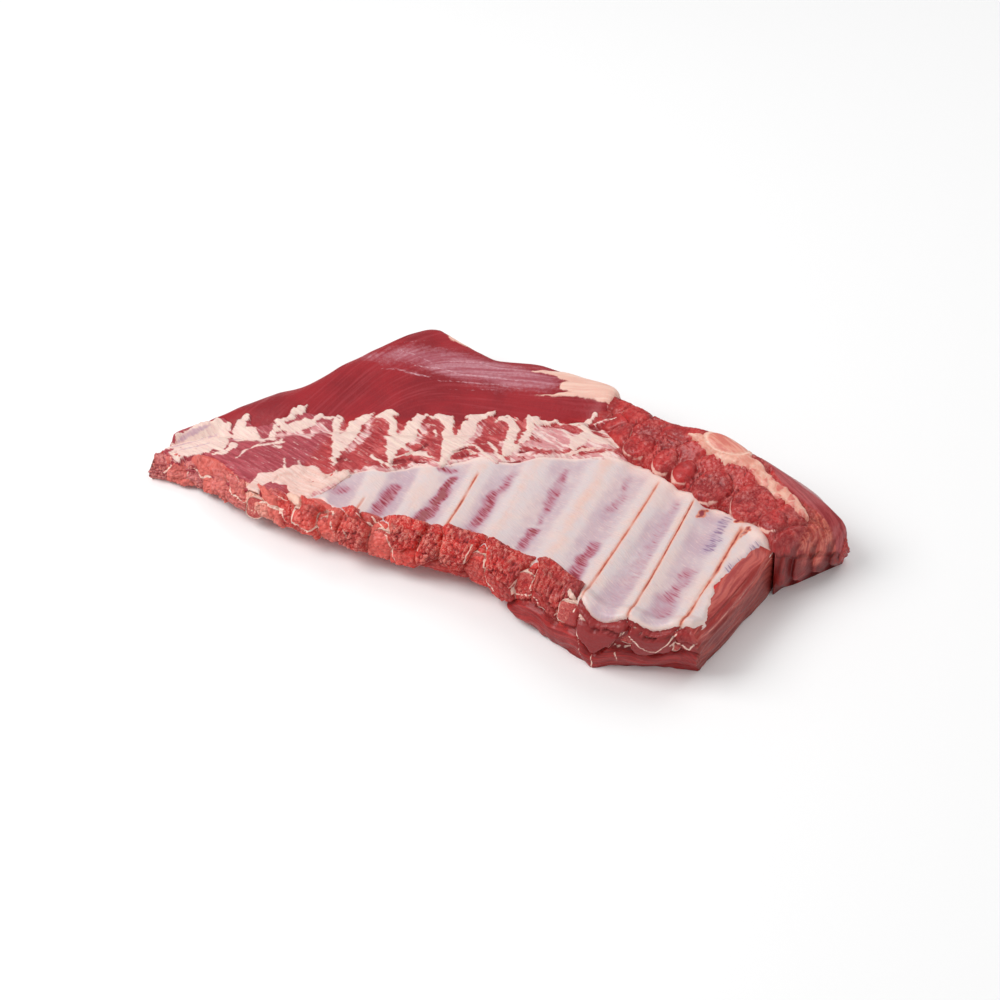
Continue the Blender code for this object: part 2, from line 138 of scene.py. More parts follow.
def looseCells(spots, offsets):
    # the points of a loose grid: how far the nearest two are, and a number that is the nearest one's own
    cells = [np.floor(s).astype(int) for s in spots]
    first, second, own = (np.full(spots[0].shape, 9.0) for _ in range(3))
    for step in np.ndindex(*(3,) * len(spots)):
        at = [c + s - 1 for c, s in zip(cells, step)]
        deep = at[2] if len(at) > 2 else 0
        moved = [noiseBlock[at[0] % noiseSize, at[1] % noiseSize, (deep + k) % noiseSize] for k in offsets]
        away = np.sqrt(sum((a + 0.5 + 0.42 * m - s) ** 2 for a, m, s in zip(at, moved, spots)))
        nearer = away < first
        second = np.where(nearer, first, np.minimum(second, away))
        own = np.where(nearer, moved[2], own)
        first = np.where(nearer, away, first)
    return first, second, own


def pebbles(x, y, size):
    # flat uneven cells: millimetres to the nearest crease, and each cell's own number
    first, second, own = looseCells([np.asarray(c, float) / size + 900 for c in (x, y)], (3, 17, 29))
    return (second - first) * size * 0.5, own


def granules(x, y, z, size):
    # rounded grains like those of a berry: 0 in a crease and 1 on a grain, and each grain's own number
    first, second, own = looseCells([np.asarray(c, float) / size + 900 for c in (x, y, z)], (0, 16, 31))
    return rounded((second - first) / 0.5), own


def brushed(x, y, strokes):
    # signed millimetres to the edge of the nearest stroke, below 0 inside; a stroke runs through (x, y, radius)
    nearest = np.full(np.shape(x), 30.0)
    for stroke in strokes:
        for (ax, ay, ar), (bx, by, br) in zip(stroke, stroke[1:]):
            dx, dy = bx - ax, by - ay
            t = np.clip(((x - ax) * dx + (y - ay) * dy) / (dx * dx + dy * dy + 1e-9), 0, 1)
            nearest = np.minimum(nearest, np.hypot(x - ax - t * dx, y - ay - t * dy) - ar - t * (br - ar))
    return nearest


def lumps(x, y, cells, crease):
    # a field of cells (x, y, half width, half height, stands out, coarse, pale, lean): the nearest one's numbers,
    # how domed it is there, millimetres to the crease, and the smaller coarse number of the two that meet there
    cells = np.array(cells, float)
    dy = y[:, None] - cells[:, 1]
    away = np.hypot((x[:, None] - cells[:, 0] - cells[:, 7] * dy) / cells[:, 2], dy / cells[:, 3])
    first, second = np.argsort(away, axis=1)[:, :2].T
    rows = np.arange(len(x))
    size = 0.5 * (cells[first, 2] + cells[first, 3])
    gap = (away[rows, second] - away[rows, first]) * size / 2
    dome = rounded(gap / (crease * (0.4 + 0.6 * cells[first, 5])))
    return cells[first], dome, gap, np.minimum(cells[first, 5], cells[second, 5])


def footOf(column):
    # where a line that leans with the ribs reaches the silverskin's far edge
    foot = np.asarray(column, float)
    for _ in range(6):
        foot = column + ribLean(column) * (skinLine(foot) - nearLine(column))
    return foot


def columnAt(x, y):
    # the other way round: where the leaning line through a spot meets the sawn edge
    column = np.asarray(x, float)
    for _ in range(6):
        near = nearLine(column)
        column = x - ribLean(column) * (np.minimum(np.maximum(y, near), skinLine(x)) - near)
    return np.minimum(column, 181)


def ribPlace(column):
    # how far along the row of ribs, the nearest one, and millimetres from it
    place = np.interp(column, ribX[::-1], np.arange(len(ribX) - 1, -1, -1))
    nearest = np.round(place).astype(int)
    return place, nearest, column - np.array(ribX)[nearest]


def ribFace(x, y):
    # height of the ribbed inner face
    column = columnAt(x, y)
    near, skin = nearLine(column), skinLine(x)
    t = np.clip((y - near) / (skin - near), 0, 1)
    height = nearHeight(column) * (1 - t) + skinHeight(x) * t - 3.0 * np.sin(np.pi * t)
    onRibs = ease((column + 150) / 30) * (1 - ease((y - skin) / 12))
    ridge = 1.8 + 2.4 * ease((column + 100) / 220)
    height += onRibs * ridge * 0.5 * np.cos(2 * np.pi * ribPlace(column)[0])
    return height + grain(x, y, 0, 20) * 0.7


def shelfTop(x, y):
    # the step of the slab on which the two muscles lie, with a little air
    return ribFace(x, y) - 8 + 0.35


def skirtTop(x, y):
    # height of the smooth muscle on the far side
    cover, far = coverLine(x), farLine(x)
    t = np.clip((y - cover) / (far - cover), 0, 1)
    edge = ribFace(x, cover) - 5.4
    return edge + (skirtHeight(x) - edge) * ease(t) + 5.5 * np.sin(np.pi * t**0.8) ** 0.8 + grain(x, y, 5, 34) * 0.9


def link(name, data):
    made = bpy.data.objects.new(name, data)
    bpy.context.scene.collection.objects.link(made)
    return made


def mould(bm, name, place):
    # a piece whose points go where place(x, y, z) says, on the plan, with the paints that it gives them
    mesh = bpy.data.meshes.new(name)
    bm.to_mesh(mesh)
    bm.free()
    flat = np.empty(len(mesh.vertices) * 3)
    mesh.vertices.foreach_get("co", flat)
    (x, y, z), paints = place(*flat.reshape(-1, 3).T)
    moulded = np.column_stack([x + planShift[0], y + planShift[1], z]) * 0.001
    mesh.vertices.foreach_set("co", moulded.ravel())
    for paint, values in paints.items():
        if isinstance(values, tuple):
            layer = mesh.attributes.new(paint, "FLOAT_VECTOR", "POINT")
            layer.data.foreach_set("vector", np.column_stack(np.broadcast_arrays(*values, x)[:3]).ravel())
        else:
            layer = mesh.attributes.new(paint, "FLOAT", "POINT")
            layer.data.foreach_set("value", np.broadcast_to(values, x.shape).astype(np.float32).ravel())
    mesh.update()
    mesh.shade_smooth()
    return link(name, mesh)


def divide(bm, cuts):
    # cross cuts through the edges that stand upright
    upright = [e for e in bm.edges if abs(e.verts[0].co.z - e.verts[1].co.z) > 0.5]
    bmesh.ops.subdivide_edges(bm, edges=upright, cuts=cuts, use_grid_fill=True)


def cage(name, look, place):
    # a closed box of many faces, moulded by place(u, v, w), each 0 to 1 along, across and up
    columns, rows, levels = look["columns"], look["rows"], look.get("levels", 1)
    bm = bmesh.new()
    bmesh.ops.create_grid(bm, x_segments=columns, y_segments=rows, size=0.5)
    raised = bmesh.ops.extrude_face_region(bm, geom=bm.faces[:])["geom"]
    bmesh.ops.translate(bm, verts=[g for g in raised if isinstance(g, bmesh.types.BMVert)], vec=(0, 0, 1))
    if levels > 1:
        divide(bm, levels - 1)
    bmesh.ops.recalc_face_normals(bm, faces=bm.faces[:])

    def share(side, count):
        return np.round(np.clip(side + 0.5, 0, 1) * count) / count
    return mould(bm, name, lambda x, y, z: place(share(x, columns), share(y, rows), z))


class nodeSet:
    # short hand for the nodes of one material
    def __init__(self, name):
        self.material = bpy.data.materials.new(name)
        self.material.use_nodes = True
        self.tree = self.material.node_tree
        self.where = self.add("TexCoord").outputs["Object"]

    def feed(self, socket, value):
        if isinstance(value, bpy.types.NodeSocket):
            self.tree.links.new(value, socket)
        else:
            socket.default_value = value

    def add(self, kind, **inputs):
        made = self.tree.nodes.new("ShaderNode" + kind)
        for name, value in inputs.items():
            self.feed(made.inputs[name], value)
        return made

    def math(self, operation, *values):
        made = self.add("Math")
        made.operation = operation
        for socket, value in zip(made.inputs, values):
            self.feed(socket, value)
        return made.outputs[0]

    def painted(self, name, output="Fac"):
        made = self.add("Attribute")
        made.attribute_name = name
        return made.outputs[output]

    def spread(self, value, low, high):
        made = self.add("MapRange", Value=value)
        made.inputs["To Min"].default_value = low
        made.inputs["To Max"].default_value = high
        return made.outputs[0]

    def step(self, value, low, high):
        made = self.add("MapRange", Value=value)
        made.interpolation_type = "SMOOTHSTEP"
        made.inputs["From Min"].default_value = low
        made.inputs["From Max"].default_value = high
        return made.outputs[0]

    def noise(self, where, scale, detail=3, roughness=0.55):
        return self.add("TexNoise", Vector=where, Scale=scale, Detail=detail, Roughness=roughness).outputs[0]

    def torn(self, mask, noise, amount):
        # a mask whose border wanders with a noise
        return self.math("MULTIPLY_ADD", self.math("SUBTRACT", noise, 0.5), amount, mask)

    def mix(self, share, a, b):
        made = self.add("Mix")
        made.data_type = "RGBA"
        self.feed(made.inputs[0], share)
        for socket, tone in ((made.inputs[6], a), (made.inputs[7], b)):
            self.feed(socket, linear(tone) if isinstance(tone, tuple) else tone)
        return made.outputs[2]

    def lay(self, colour, tone, value, low, high, strength=1):
        # a tone over a colour, where the value rises from low to high
        share = self.step(value, low, high)
        if strength != 1:
            share = self.math("MULTIPLY", share, strength)
        return self.mix(share, colour, tone)

    def wet(self, colour, roughness, height, coat, under, gloss):
        # a moist surface with a little light passing under it
        relief = self.add("Bump", Strength=1.0, Distance=0.001, Height=height).outputs[0]
        shader = self.tree.nodes["Principled BSDF"]
        for name, value in {
                "Base Color": colour, "Roughness": roughness, "Normal": relief, "Specular IOR Level": gloss,
                "Coat Weight": coat, "Coat Roughness": 0.22, "Subsurface Weight": under,
                "Subsurface Radius": (1.0, 0.35, 0.25), "Subsurface Scale": 0.002}.items():
            self.feed(shader.inputs[name], value)
        return self.material


def linear(tone):
    # a colour of 0 to 255, as pickers give it, for a socket
    return tuple(c / 255 / 12.92 if c / 255 <= 0.04045 else ((c / 255 + 0.055) / 1.055) ** 2.4 for c in tone) + (1,)


def meatMaterial(name, look):
    # two reds in patches, streaked along the fibres, then painted in layers
    n = nodeSet(name)
    along = n.painted("fibre", "Vector")
    fibres = n.noise(along, 1.0, 4, 0.6)
    ragged = n.math("SUBTRACT", n.noise(n.where, 430, 3, 0.65), 0.5)
    if "feather" in look:
        ragged = n.torn(ragged, n.noise(along, 2.4, 3, 0.6), look["feather"])

    def layered(colour, layers):
        for mask, tone, low, high, tear in layers:
            if isinstance(tone[0], tuple):
                tone = n.lay(*tone, fibres, 0.42, 0.6)
            colour = n.lay(colour, tone, n.math("MULTIPLY_ADD", ragged, tear, n.painted(mask)), low, high)
        return colour

    colour = n.lay(look["dark"], look["bright"], n.noise(n.where, look["patchScale"], 4, 0.6), 0.38, 0.62)
    colour = n.lay(colour, look["streakColour"], fibres, 0.5, 0.68, look["streak"])
    colour = n.lay(colour, look["groove"], fibres, 0.48, 0.36, look["streak"] * 0.8)
    colour = layered(colour, look.get("beneath", ()))
    height = n.math("MULTIPLY", ragged, 0.4)
    if "gritScale" in look:
        # gaps in painted shade, painted highlights on the grains, and pale threads, part fat and part painted
        # highlight
        coarse, lobe = n.painted("coarse"), n.painted("lobe")
        fine = n.math("ABSOLUTE", n.math("SUBTRACT", n.noise(n.where, look["gritScale"], 3, 0.6), 0.5))
        raised = n.math("MULTIPLY_ADD", fine, 2.4, lobe)
        threads = n.math("MULTIPLY", n.step(fine, 0.045, 0.01), n.step(lobe, 0.3, 0.8))
        for tone, share, strength in (("creaseShadeColour", n.step(raised, 0.5, 0.15), 0.85),
                                      ("highlightColour", n.step(raised, 0.85, 1.4), look["highlightShare"]),
                                      ("threadAndHighlightColour", threads, look["highlightShare"])):
            share = n.math("MULTIPLY", n.math("MULTIPLY", share, coarse), strength)
            colour = n.mix(share, colour, look[tone])
        grit = n.math("MULTIPLY", fine, coarse)
        height = n.math("MULTIPLY_ADD", grit, look["gritBump"], height)
    height = n.math("MULTIPLY_ADD", fibres, look["fibreBump"], height)
    roughness = n.spread(n.noise(n.where, 150, 2), *look["roughness"])
    return n.wet(layered(colour, look["layers"]), roughness, height, look["coat"], look["under"], 0.35)


def finish(piece, material, slot, *nodes):
    piece.data.materials.append(material)
    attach(piece, "root")
    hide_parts(*nodes)


# the slab, with the lumps of meat and the cut muscles along its sawn edge
slabLook = {
    "start": -227, "length": 408, "columns": 620, "rows": 34, "lipRows": 20, "levels": 38,
    # x, height, half width, half height, how far it stands out, coarse 1 or smooth 0, how pale (or dark), lean
    # a darker cell that lies in a recess is painted shade there
    "cells": (
        (-220, 11, 7, 9, 2.5, 0, -0.2, 0), (-208, 14, 7, 8, 3, 0.1, 0.15, -0.3), (-206, 4, 9, 5, 2.5, 0.5, 0.3, 0),
        (-193, 14, 6, 8, 2, 0.3, -0.4, -0.6), (-190, 22, 9, 6, 3.5, 0.4, 0.3, 0), (-180, 9, 8, 7, 3, 0.4, 0.3, 0),
        (-172, 18, 9, 7, 3.5, 0.4, 0.1, 0), (-163, 8, 9, 5, 2.5, 0.6, 0.2, 0),
        (-155, 20, 9, 11, 4.5, 0, 0.05, -0.3), (-147, 6, 10, 4, 2.5, 0, 0.5, 0),
        (-141, 22, 5.5, 11, 3.5, 0, 1.0, -0.3), (-132, 18, 5, 9, 4, 0.3, 0.9, -0.6),
        (-125, 25, 4.5, 14, 4.5, 0.4, 0.5, -0.8), (-116, 27, 5, 15, 4.5, 0.1, -0.1, -0.9),
        (-107, 33, 4.5, 9, 4.5, 0.1, 1.6, -0.7), (-121, 8, 9, 4, 2.5, 0.3, 0.9, 0),
        (-97, 26, 10, 13, 6.5, 0.8, 0.1, -0.3), (-96, 37, 7, 5, 4, 0.6, 0.4, 0), (-82, 20, 7, 9, 2.4, 0, 0.3, -0.3),
        (-100, 12, 8, 5, 3, 0.2, 0.1, 0), (-66, 29, 10, 12, 6.5, 1, 0, -0.2), (-76, 30, 6, 8, 5.5, 0.9, 0.2, 0),
        (-57, 38, 7, 5, 4.5, 0.4, 0.1, 0), (-64, 12, 9, 4, 2.5, 0.2, -0.5, 0),
        (-43, 23, 7, 10, 2.4, 0.3, 0.3, -0.2), (-28, 34, 11, 11, 6.5, 1, 0, 0), (-25, 18, 8, 7, 3, 0.1, 0.3, 0),
        (-9, 27, 7, 12, 5.5, 1, 0.15, 0), (9, 34, 11, 12, 6.5, 1, 0, 0), (2, 14, 12, 4, 2.5, 0.3, -0.3, 0),
        (24, 23, 7.5, 10, 2.4, 0.1, 0.3, 0), (45, 34, 12, 10, 6.5, 1, 0, 0), (44, 20, 10, 6, 4.5, 0.15, -0.1, 0),
        (61, 27, 8, 10, 2.4, 0, 0.35, 0), (83, 36, 12, 10, 6.5, 1, 0, 0), (80, 23, 9, 6, 4, 0.1, 0, 0),
        (98, 25, 8, 9, 3, 0.1, 0.6, 0), (122, 36.5, 15, 4, 6, 0.5, -0.1, 0), (121, 24, 13, 11, 6.5, 0.1, -0.2, 0),
        (138, 22, 6, 9, 0.5, 0, -0.6, 0), (155, 39.5, 14, 3.5, 5.5, 0.5, 0, 0), (155, 29, 12, 8, 6, 0.1, -0.2, 0),
        (176, 36, 8, 5, 4, 0.4, 0.2, 0), (177, 27, 8, 4, 3, 0.2, 0.1, 0)),
    # pale skins between the lumps: strokes (x, height, half width) along the edge, and two bright folds of muscle
    "outlines": (
        ((19, 34, 0.4), (18, 31, 0.4), (16, 24, 0.4)),
        ((30, 36, 0.4), (30, 31, 0.5), (30, 26, 0.5), (32, 22, 0.4), (34, 19, 0.4), (40, 15, 0.3)),
        ((57, 33, 0.4), (52, 27, 0.4), (54, 21, 0.5), (62, 22, 0.4), (68, 23, 0.4)),
        ((69, 38, 0.4), (66, 28, 0.5), (69, 26, 0.4)), ((70, 25, 0.4), (75, 22, 0.4), (87, 22, 0.3)),
        ((95, 40, 0.6), (100, 39, 1.2), (102, 33, 0.9)), ((88, 24, 0.5), (91, 26, 0.6), (97, 26, 0.4)),
        ((106, 29, 0.4), (108, 23, 0.5), (108, 20, 0.4)),
        ((-39, 9, 0.4), (-28, 8, 1.0), (-18, 9, 0.8), (-10, 10, 0.3)),
        ((-131, 24, 0.4), (-126, 23, 0.4), (-120, 23, 0.5), (-115, 24, 0.4), (-111, 20, 0.4)),
        ((-124, 30, 0.3), (-114, 30, 0.3)),
        ((-114, 31, 0.4), (-108, 30, 0.5), (-104, 21, 0.5), (-97, 19, 0.4), (-87, 21, 0.4)),
        ((-92, 36, 0.4), (-82, 32, 0.6), (-78, 30, 0.7)), ((-78, 27, 0.5), (-76, 22, 0.4), (-72, 15, 0.3)),
        ((-67, 26, 0.3), (-63, 21, 0.4)), ((-64, 33, 0.3), (-51, 32, 0.3)),
        ((-52, 37, 0.9), (-43, 31, 0.5), (-38, 26, 0.4), (-33, 20, 0.4), (-30, 14, 0.4)),
        ((-15, 35, 0.4), (-16, 30, 0.4), (-16, 25, 0.4)), ((-216, 23, 0.3), (-213, 15, 0.5), (-216, 10, 0.5)),
        ((-200, 18, 0.3), (-193, 17, 0.5), (-186, 16, 0.5), (-179, 20, 0.5)),
        ((-170, 28, 0.4), (-163, 21, 0.4), (-156, 18, 0.5), (-142, 20, 0.3)),
        ((-168, 31, 0.4), (-161, 33, 0.4), (-152, 30, 0.3)), ((-133, 23, 0.5), (-123, 24, 0.4), (-115, 25, 0.3)),
        ((107, 26, 0.6), (109, 22, 0.6), (113, 18, 0.6), (120, 15.5, 0.6), (129, 19, 0.6), (135, 27, 0.5),
        (138, 31, 0.4)), ((143, 33, 0.5), (150, 28, 0.6), (159, 24.5, 0.6), (165, 31, 0.5), (170, 37, 0.4)),
        ((167, 30, 0.4), (168, 22, 0.3)), ((167, 30, 0.4), (177, 24, 0.4), (182, 32, 0.3)),
        ((132, 19, 0.4), (136, 16, 0.4), (155, 22, 0.4)), ((108, 19, 0.3), (112, 9, 0.3)),
        ((119, 12, 0.4), (120, 3, 0.4)), ((134, 15, 0.4), (135, 8, 0.3)),
        ((77, 20, 0.3), (93, 21, 0.3), (107, 21, 0.4))),
    "folds": (
        ((111, 32, 1), (120, 31, 1.2), (130, 33, 1.2), (138, 37, 0.8)), ((174, 41, 0.8), (182, 34, 0.8)),
        ((144, 36, 1), (153, 36, 1.3), (164, 36, 1.2), (169, 37, 0.8))),
    # the long muscle under the lumps: its top line (x, height)
    "tier": (
        (36, 0), (48, 10), (60, 15), (77, 19), (93, 20), (107, 20), (113, 17), (120, 14), (129, 18), (136, 16),
        (155, 21), (168, 22), (181, 20)),
    "crease": 5.6, "granule": 3.2, "grit": 2.1,
    "runTogether": -112,  # from here to the narrow end the lumps are lower and less apart
    "lip": 102,  # from here to the neck end the silverskin hangs over the lip
    # two reds in patches, streaks and grooves along the fibres, grit
    "dark": (164, 10, 12), "bright": (214, 30, 22), "patchScale": 55,
    "streak": 0.3, "streakColour": (208, 88, 78), "groove": (136, 16, 20),
    # gaps between the grains in painted shade, painted highlights on the grains, pale threads of fat that also stand
    # for highlights
    "gritScale": 520, "creaseShadeColour": (104, 6, 8), "threadAndHighlightColour": (238, 164, 148),
    "highlightShare": 0.75, "highlightColour": (226, 112, 96),
    "roughness": (0.36, 0.54), "fibreBump": 0.5, "gritBump": 1.4, "coat": 0.22, "under": 0.1,
    "beneath": (("left", ((152, 44, 50), (204, 108, 108)), 0.15, 0.8, 0.8),),
    # painted over them: mask, colour or two, from, to, tear
    "layers": (
        ("pale", (222, 106, 94), 0.1, 1.0, 0.5),
        ("pale", (240, 196, 176), 1.1, 1.7, 0.5),
        # the darker lumps' own tone, with painted shade in recesses and towards the neck end
        ("darkToneAndShade", (140, 26, 28), 0.1, 1.0, 0.3),
        ("shade", (138, 28, 30), 0.2, 1.0, 0.3),
        ("tier", ((130, 8, 12), (166, 30, 28)), 0.3, 0.8, 0.3),
        ("cut", ((158, 40, 36), (188, 80, 68)), 0.35, 0.75, 0.4),
        ("low", ((126, 34, 30), (160, 66, 58)), 0.3, 0.9, 0.5),
        ("cutLine", (226, 160, 144), 0.4, 0.9, 0.7),
        ("cap", ((226, 176, 156), (240, 210, 192)), 0.3, 0.8, 0.7),
        ("seam", (240, 202, 186), 0.4, 0.8, 0.9),
    ),
}
tierTop = line(*slabLook["tier"])


def endSink(column):
    # the rounded brow of the cut end
    return 3.4 * ease((column - 173) / 8) ** 2


def slabTop(x, y):
    # the meat's own upper face: under the silverskin, and lower where the fat and the muscles lie on it
    return (ribFace(x, y) - skinDepth - 2.6 * ease((y - skinLine(x) - 2) / 5)
            - 4.5 * ease((y - coverLine(x) + 2) / 3))


def sawnEdge(x, arc):
    # the near edge at arc millimetres round the lip, below 0 down the wall: how far it stands out, and its paints
    wx = x + grain(x, arc, 3, 9) * 2.0 + grain(x, arc, 8, 4) * 1.1
    wz = nearHeight(x) - 1 + arc + grain(x, arc, 13, 9) * 1.8 + grain(x, arc, 18, 4) * 1.1
    cells, dome, gap, smoother = lumps(wx, wz, slabLook["cells"], slabLook["crease"])
    standsOut, coarse, pale = cells[:, 4:7].T
    outline = brushed(x + grain(x, arc, 8, 4) * 0.9, wz - grain(x, arc, 13, 9) * 1.4, slabLook["outlines"])
    fold = ease((1.2 - brushed(x, wz, slabLook["folds"])) / 1.4)
    below = tierTop(x) - wz
    tier = ease(below / 1.2)
    muscle = (5.2 * rounded(below / 4) - 3.5 * ease((below - 7) / 11)
              + grain(x * 0.07, wz * 0.9, 60, 1.8) * 0.6 + grain(x * 0.06, wz * 0.9, 64, 4) * 0.8)
    left = ease((slabLook["runTogether"] - x) / 24)
    tall = 1.2 - 0.65 * ease((-96 - x) / 30) * (1 - coarse)
    out = standsOut * tall * dome - 0.4 + grain(x, arc, 41, 5) * 1.4 * ease((-90 - x) / 30)
    out = out * ease(-below / 2.5) * (1 - tier) + muscle * tier + grain(x, arc, 22, 6) * 0.5 + fold * 0.9
    # under the silverskin's hanging edge the meat keeps back
    kept = 2.6 * (1 - ease((arc - 1) / 14)) + 4.4 * ease((-arc - 2.5) / 2)
    out = np.where(x > slabLook["lip"], np.minimum(out, kept), out)
    creased = np.clip(1 - gap / 0.9, 0, 1) * (0.42 - 0.3 * smoother + 0.7 * grain(x, arc, 30, 9))
    coarse = np.maximum(coarse, 0.55 + 0.3 * left - 0.45 * ease((x - 90) / 15))
    # painted light and shade: the lumps are made paler towards the narrow end and darker towards the neck end
    pale = pale + 0.15 * left + 0.3 * ease((-10 - x) / 40) - 0.3 * ease((x - 20) / 40)
    paints = {
        "seam": np.maximum(ease((0.6 - outline) / 1.1) * (1.0 + 0.4 * grain(x, arc, 33, 7)), creased * (1 - tier)),
        "coarse": coarse * (1 - tier), "pale": pale * (1 - tier) - 0.3 * tier,
        "left": left, "tier": tier, "fold": fold * (1 - tier),
    }
    return out, dome * (1 - tier), paints


def lipTurn(arc):
    # the angle of the surface round the lip
    return ease((arc + 9) / 15) * math.pi / 2


def overLip(arc, out):
    # moves for a point at arc round the lip that stands out by `out`
    pull = 2.6 * bell(arc, 5)
    return pull - np.cos(lipTurn(arc)) * out, np.sin(lipTurn(arc)) * out - pull


def slabPlace(u, v, w):
    rows, lipRows = slabLook["rows"], slabLook["lipRows"]
    column = slabLook["start"] + slabLook["length"] * u
    foot = footOf(column)
    near, skin, far = nearLine(column), skinLine(foot), farLine(foot)
    step = v * rows
    rest = (far - near - lipRows) / (rows - lipRows)
    y = np.where(step <= lipRows, near + step, near + lipRows + rest * (step - lipRows))
    x = column + (foot - column) * np.clip((y - near) / (skin - near), 0, 1)
    top = slabTop(x, y) - endSink(column)
    base = nearLift(x) * (1 - ease((y - near) / 42))
    z = base + (top - base) * w
    wall, side, belly = v == 0, (w > 0) & (w < 1), np.sin(np.pi * w)
    sawn = wall | ((w == 1) & (step <= lipRows))
    arc = np.where(wall, z - (ribFace(column, near) - skinDepth), y - near)
    out, dome, onEdge = sawnEdge(column, np.where(sawn, arc, 0))
    edge = sawn * (1 - ease((y - near - 7) / 10))
    lean = (footLine(column) - near) * (1 - w) * (1 - ease((y - near) / 32))
    # the grains of the coarse lumps are set where the lumps already stand
    awayY, upZ = overLip(arc, out * edge)
    grained, own = granules(x, y + lean + awayY, z + upZ, slabLook["granule"])
    out = out + (grained - 0.65 + 0.3 * own) * slabLook["grit"] * onEdge["coarse"] * (0.25 + 0.75 * dome)
    awayY, upZ = overLip(arc, out * edge)
    farSwell = ((2.0 * belly + crumble(x, y, z, 11)) * side - 2.5 * (1 - w) - 2 * (w == 1)) * ease((x + 235) / 60)
    movedY = y + lean - wall * 1.5 * belly + np.where(sawn, awayY, 0) + np.where(v == 1, farSwell, 0)
    movedZ = z + np.where(sawn, upZ, 0) * np.clip(z / 3, 0, 1)
    # the cut end shows muscle in layers, under a ledge
    depth = np.clip(top + 3.4 - z, 0, 60)
    cutEnd, backWall = u == 1, (v == 1) | (u == 0)
    layersOfMeat = (np.sin(z * 1.1 + grain(0, y * 0.5, z, 16) * 4) * 0.45 + crumble(y * 0.3, 0, z, 6) * 0.7
                    + 1.4 * bell(depth - 6, 4))
    bare = ease((skin - 8 - y) / 6)
    ledge = 1.6 * ease((depth - 12) / 1.5) - 1.2 * bell(depth - 11.5, 1.2)
    endSwell = (1.6 * belly + layersOfMeat + ledge * 0.5) * side - 2.6 * bell(depth, 4) - 1.5 * (1 - w)
    narrowSwell = (1.5 * belly + crumble(x, y, z, 8) * 1.2) * side - 2 * (1 - w)
    movedX = x + cutEnd * bare * endSwell - (u == 0) * narrowSwell
    upperLine = bell(depth - 9 - grain(0, y, 0, 11) * 2.5, 0.6) * ease(grain(3, y, 0, 13) * 3 + 1.2)
    lowerLine = bell(depth - 20 - grain(5, y, 0, 13) * 4, 0.5) * ease(grain(9, y, 0, 12) * 3 + 0.6)
    # fat and lean in layers on the walls that the muscles hang over
    layer = z + grain(x * 0.3, y * 0.3, 3, 9) * 5
    fatLines = (bell(layer - 9, 0.9) + bell(layer - 17, 0.6) * 0.8) * ease(grain(x, y, 3, 15) * 3 + 1.5)
    pale = np.where(sawn, onEdge["pale"], 0)
    endTop = ease((column - 173) / 1.5) * (w == 1)
    atEnd = cutEnd | (column > 172.5)
    paints = {
        "fibre": (np.where(atEnd, y, x) * (0.03 + 0.02 * onEdge["tier"]),
                  depth * -0.4 * (1 + onEdge["tier"]) + np.where(wall, 0, y * 0.3) * ~atEnd
                  + (column - grain(0, y, 0, 14) * 3) * 0.6 * atEnd, y * 0.02),
        "seam": onEdge["seam"] * edge,
        "coarse": np.where(sawn, onEdge["coarse"], 0.1) * ~cutEnd,
        "pale": np.maximum(pale, onEdge["fold"] * edge * 0.9),
        "darkToneAndShade": -1.6 * pale,
        "left": onEdge["left"] * edge,
        "lobe": grained * 0.85 + own * 0.3,
        "cut": np.maximum(cutEnd * (1 - ease((depth - 14) / 2)), endTop),
        "cutLine": cutEnd * np.maximum(upperLine, 0.8 * lowerLine) + backWall * fatLines,
        "low": np.maximum(cutEnd * ease((depth - 11 - grain(0, y, 0, 9) * 2) / 3),
                          backWall * (0.85 + 0.3 * grain(x * 0.2, y * 0.2, z, 4))),
        "cap": backWall * ease((4.5 - layer) / 2),
        "tier": onEdge["tier"] * sawn,
        "shade": np.maximum(ease((16 - z) / 16) * (column > 50) * 0.9, 0.75 * ease((column - 88) / 12) * edge),
    }
    return (movedX, movedY, movedZ), paints


finish(cage("slabMeat", slabLook, slabPlace), meatMaterial("slabMeat", slabLook), "meat", "slab_meat")
print("slab done")

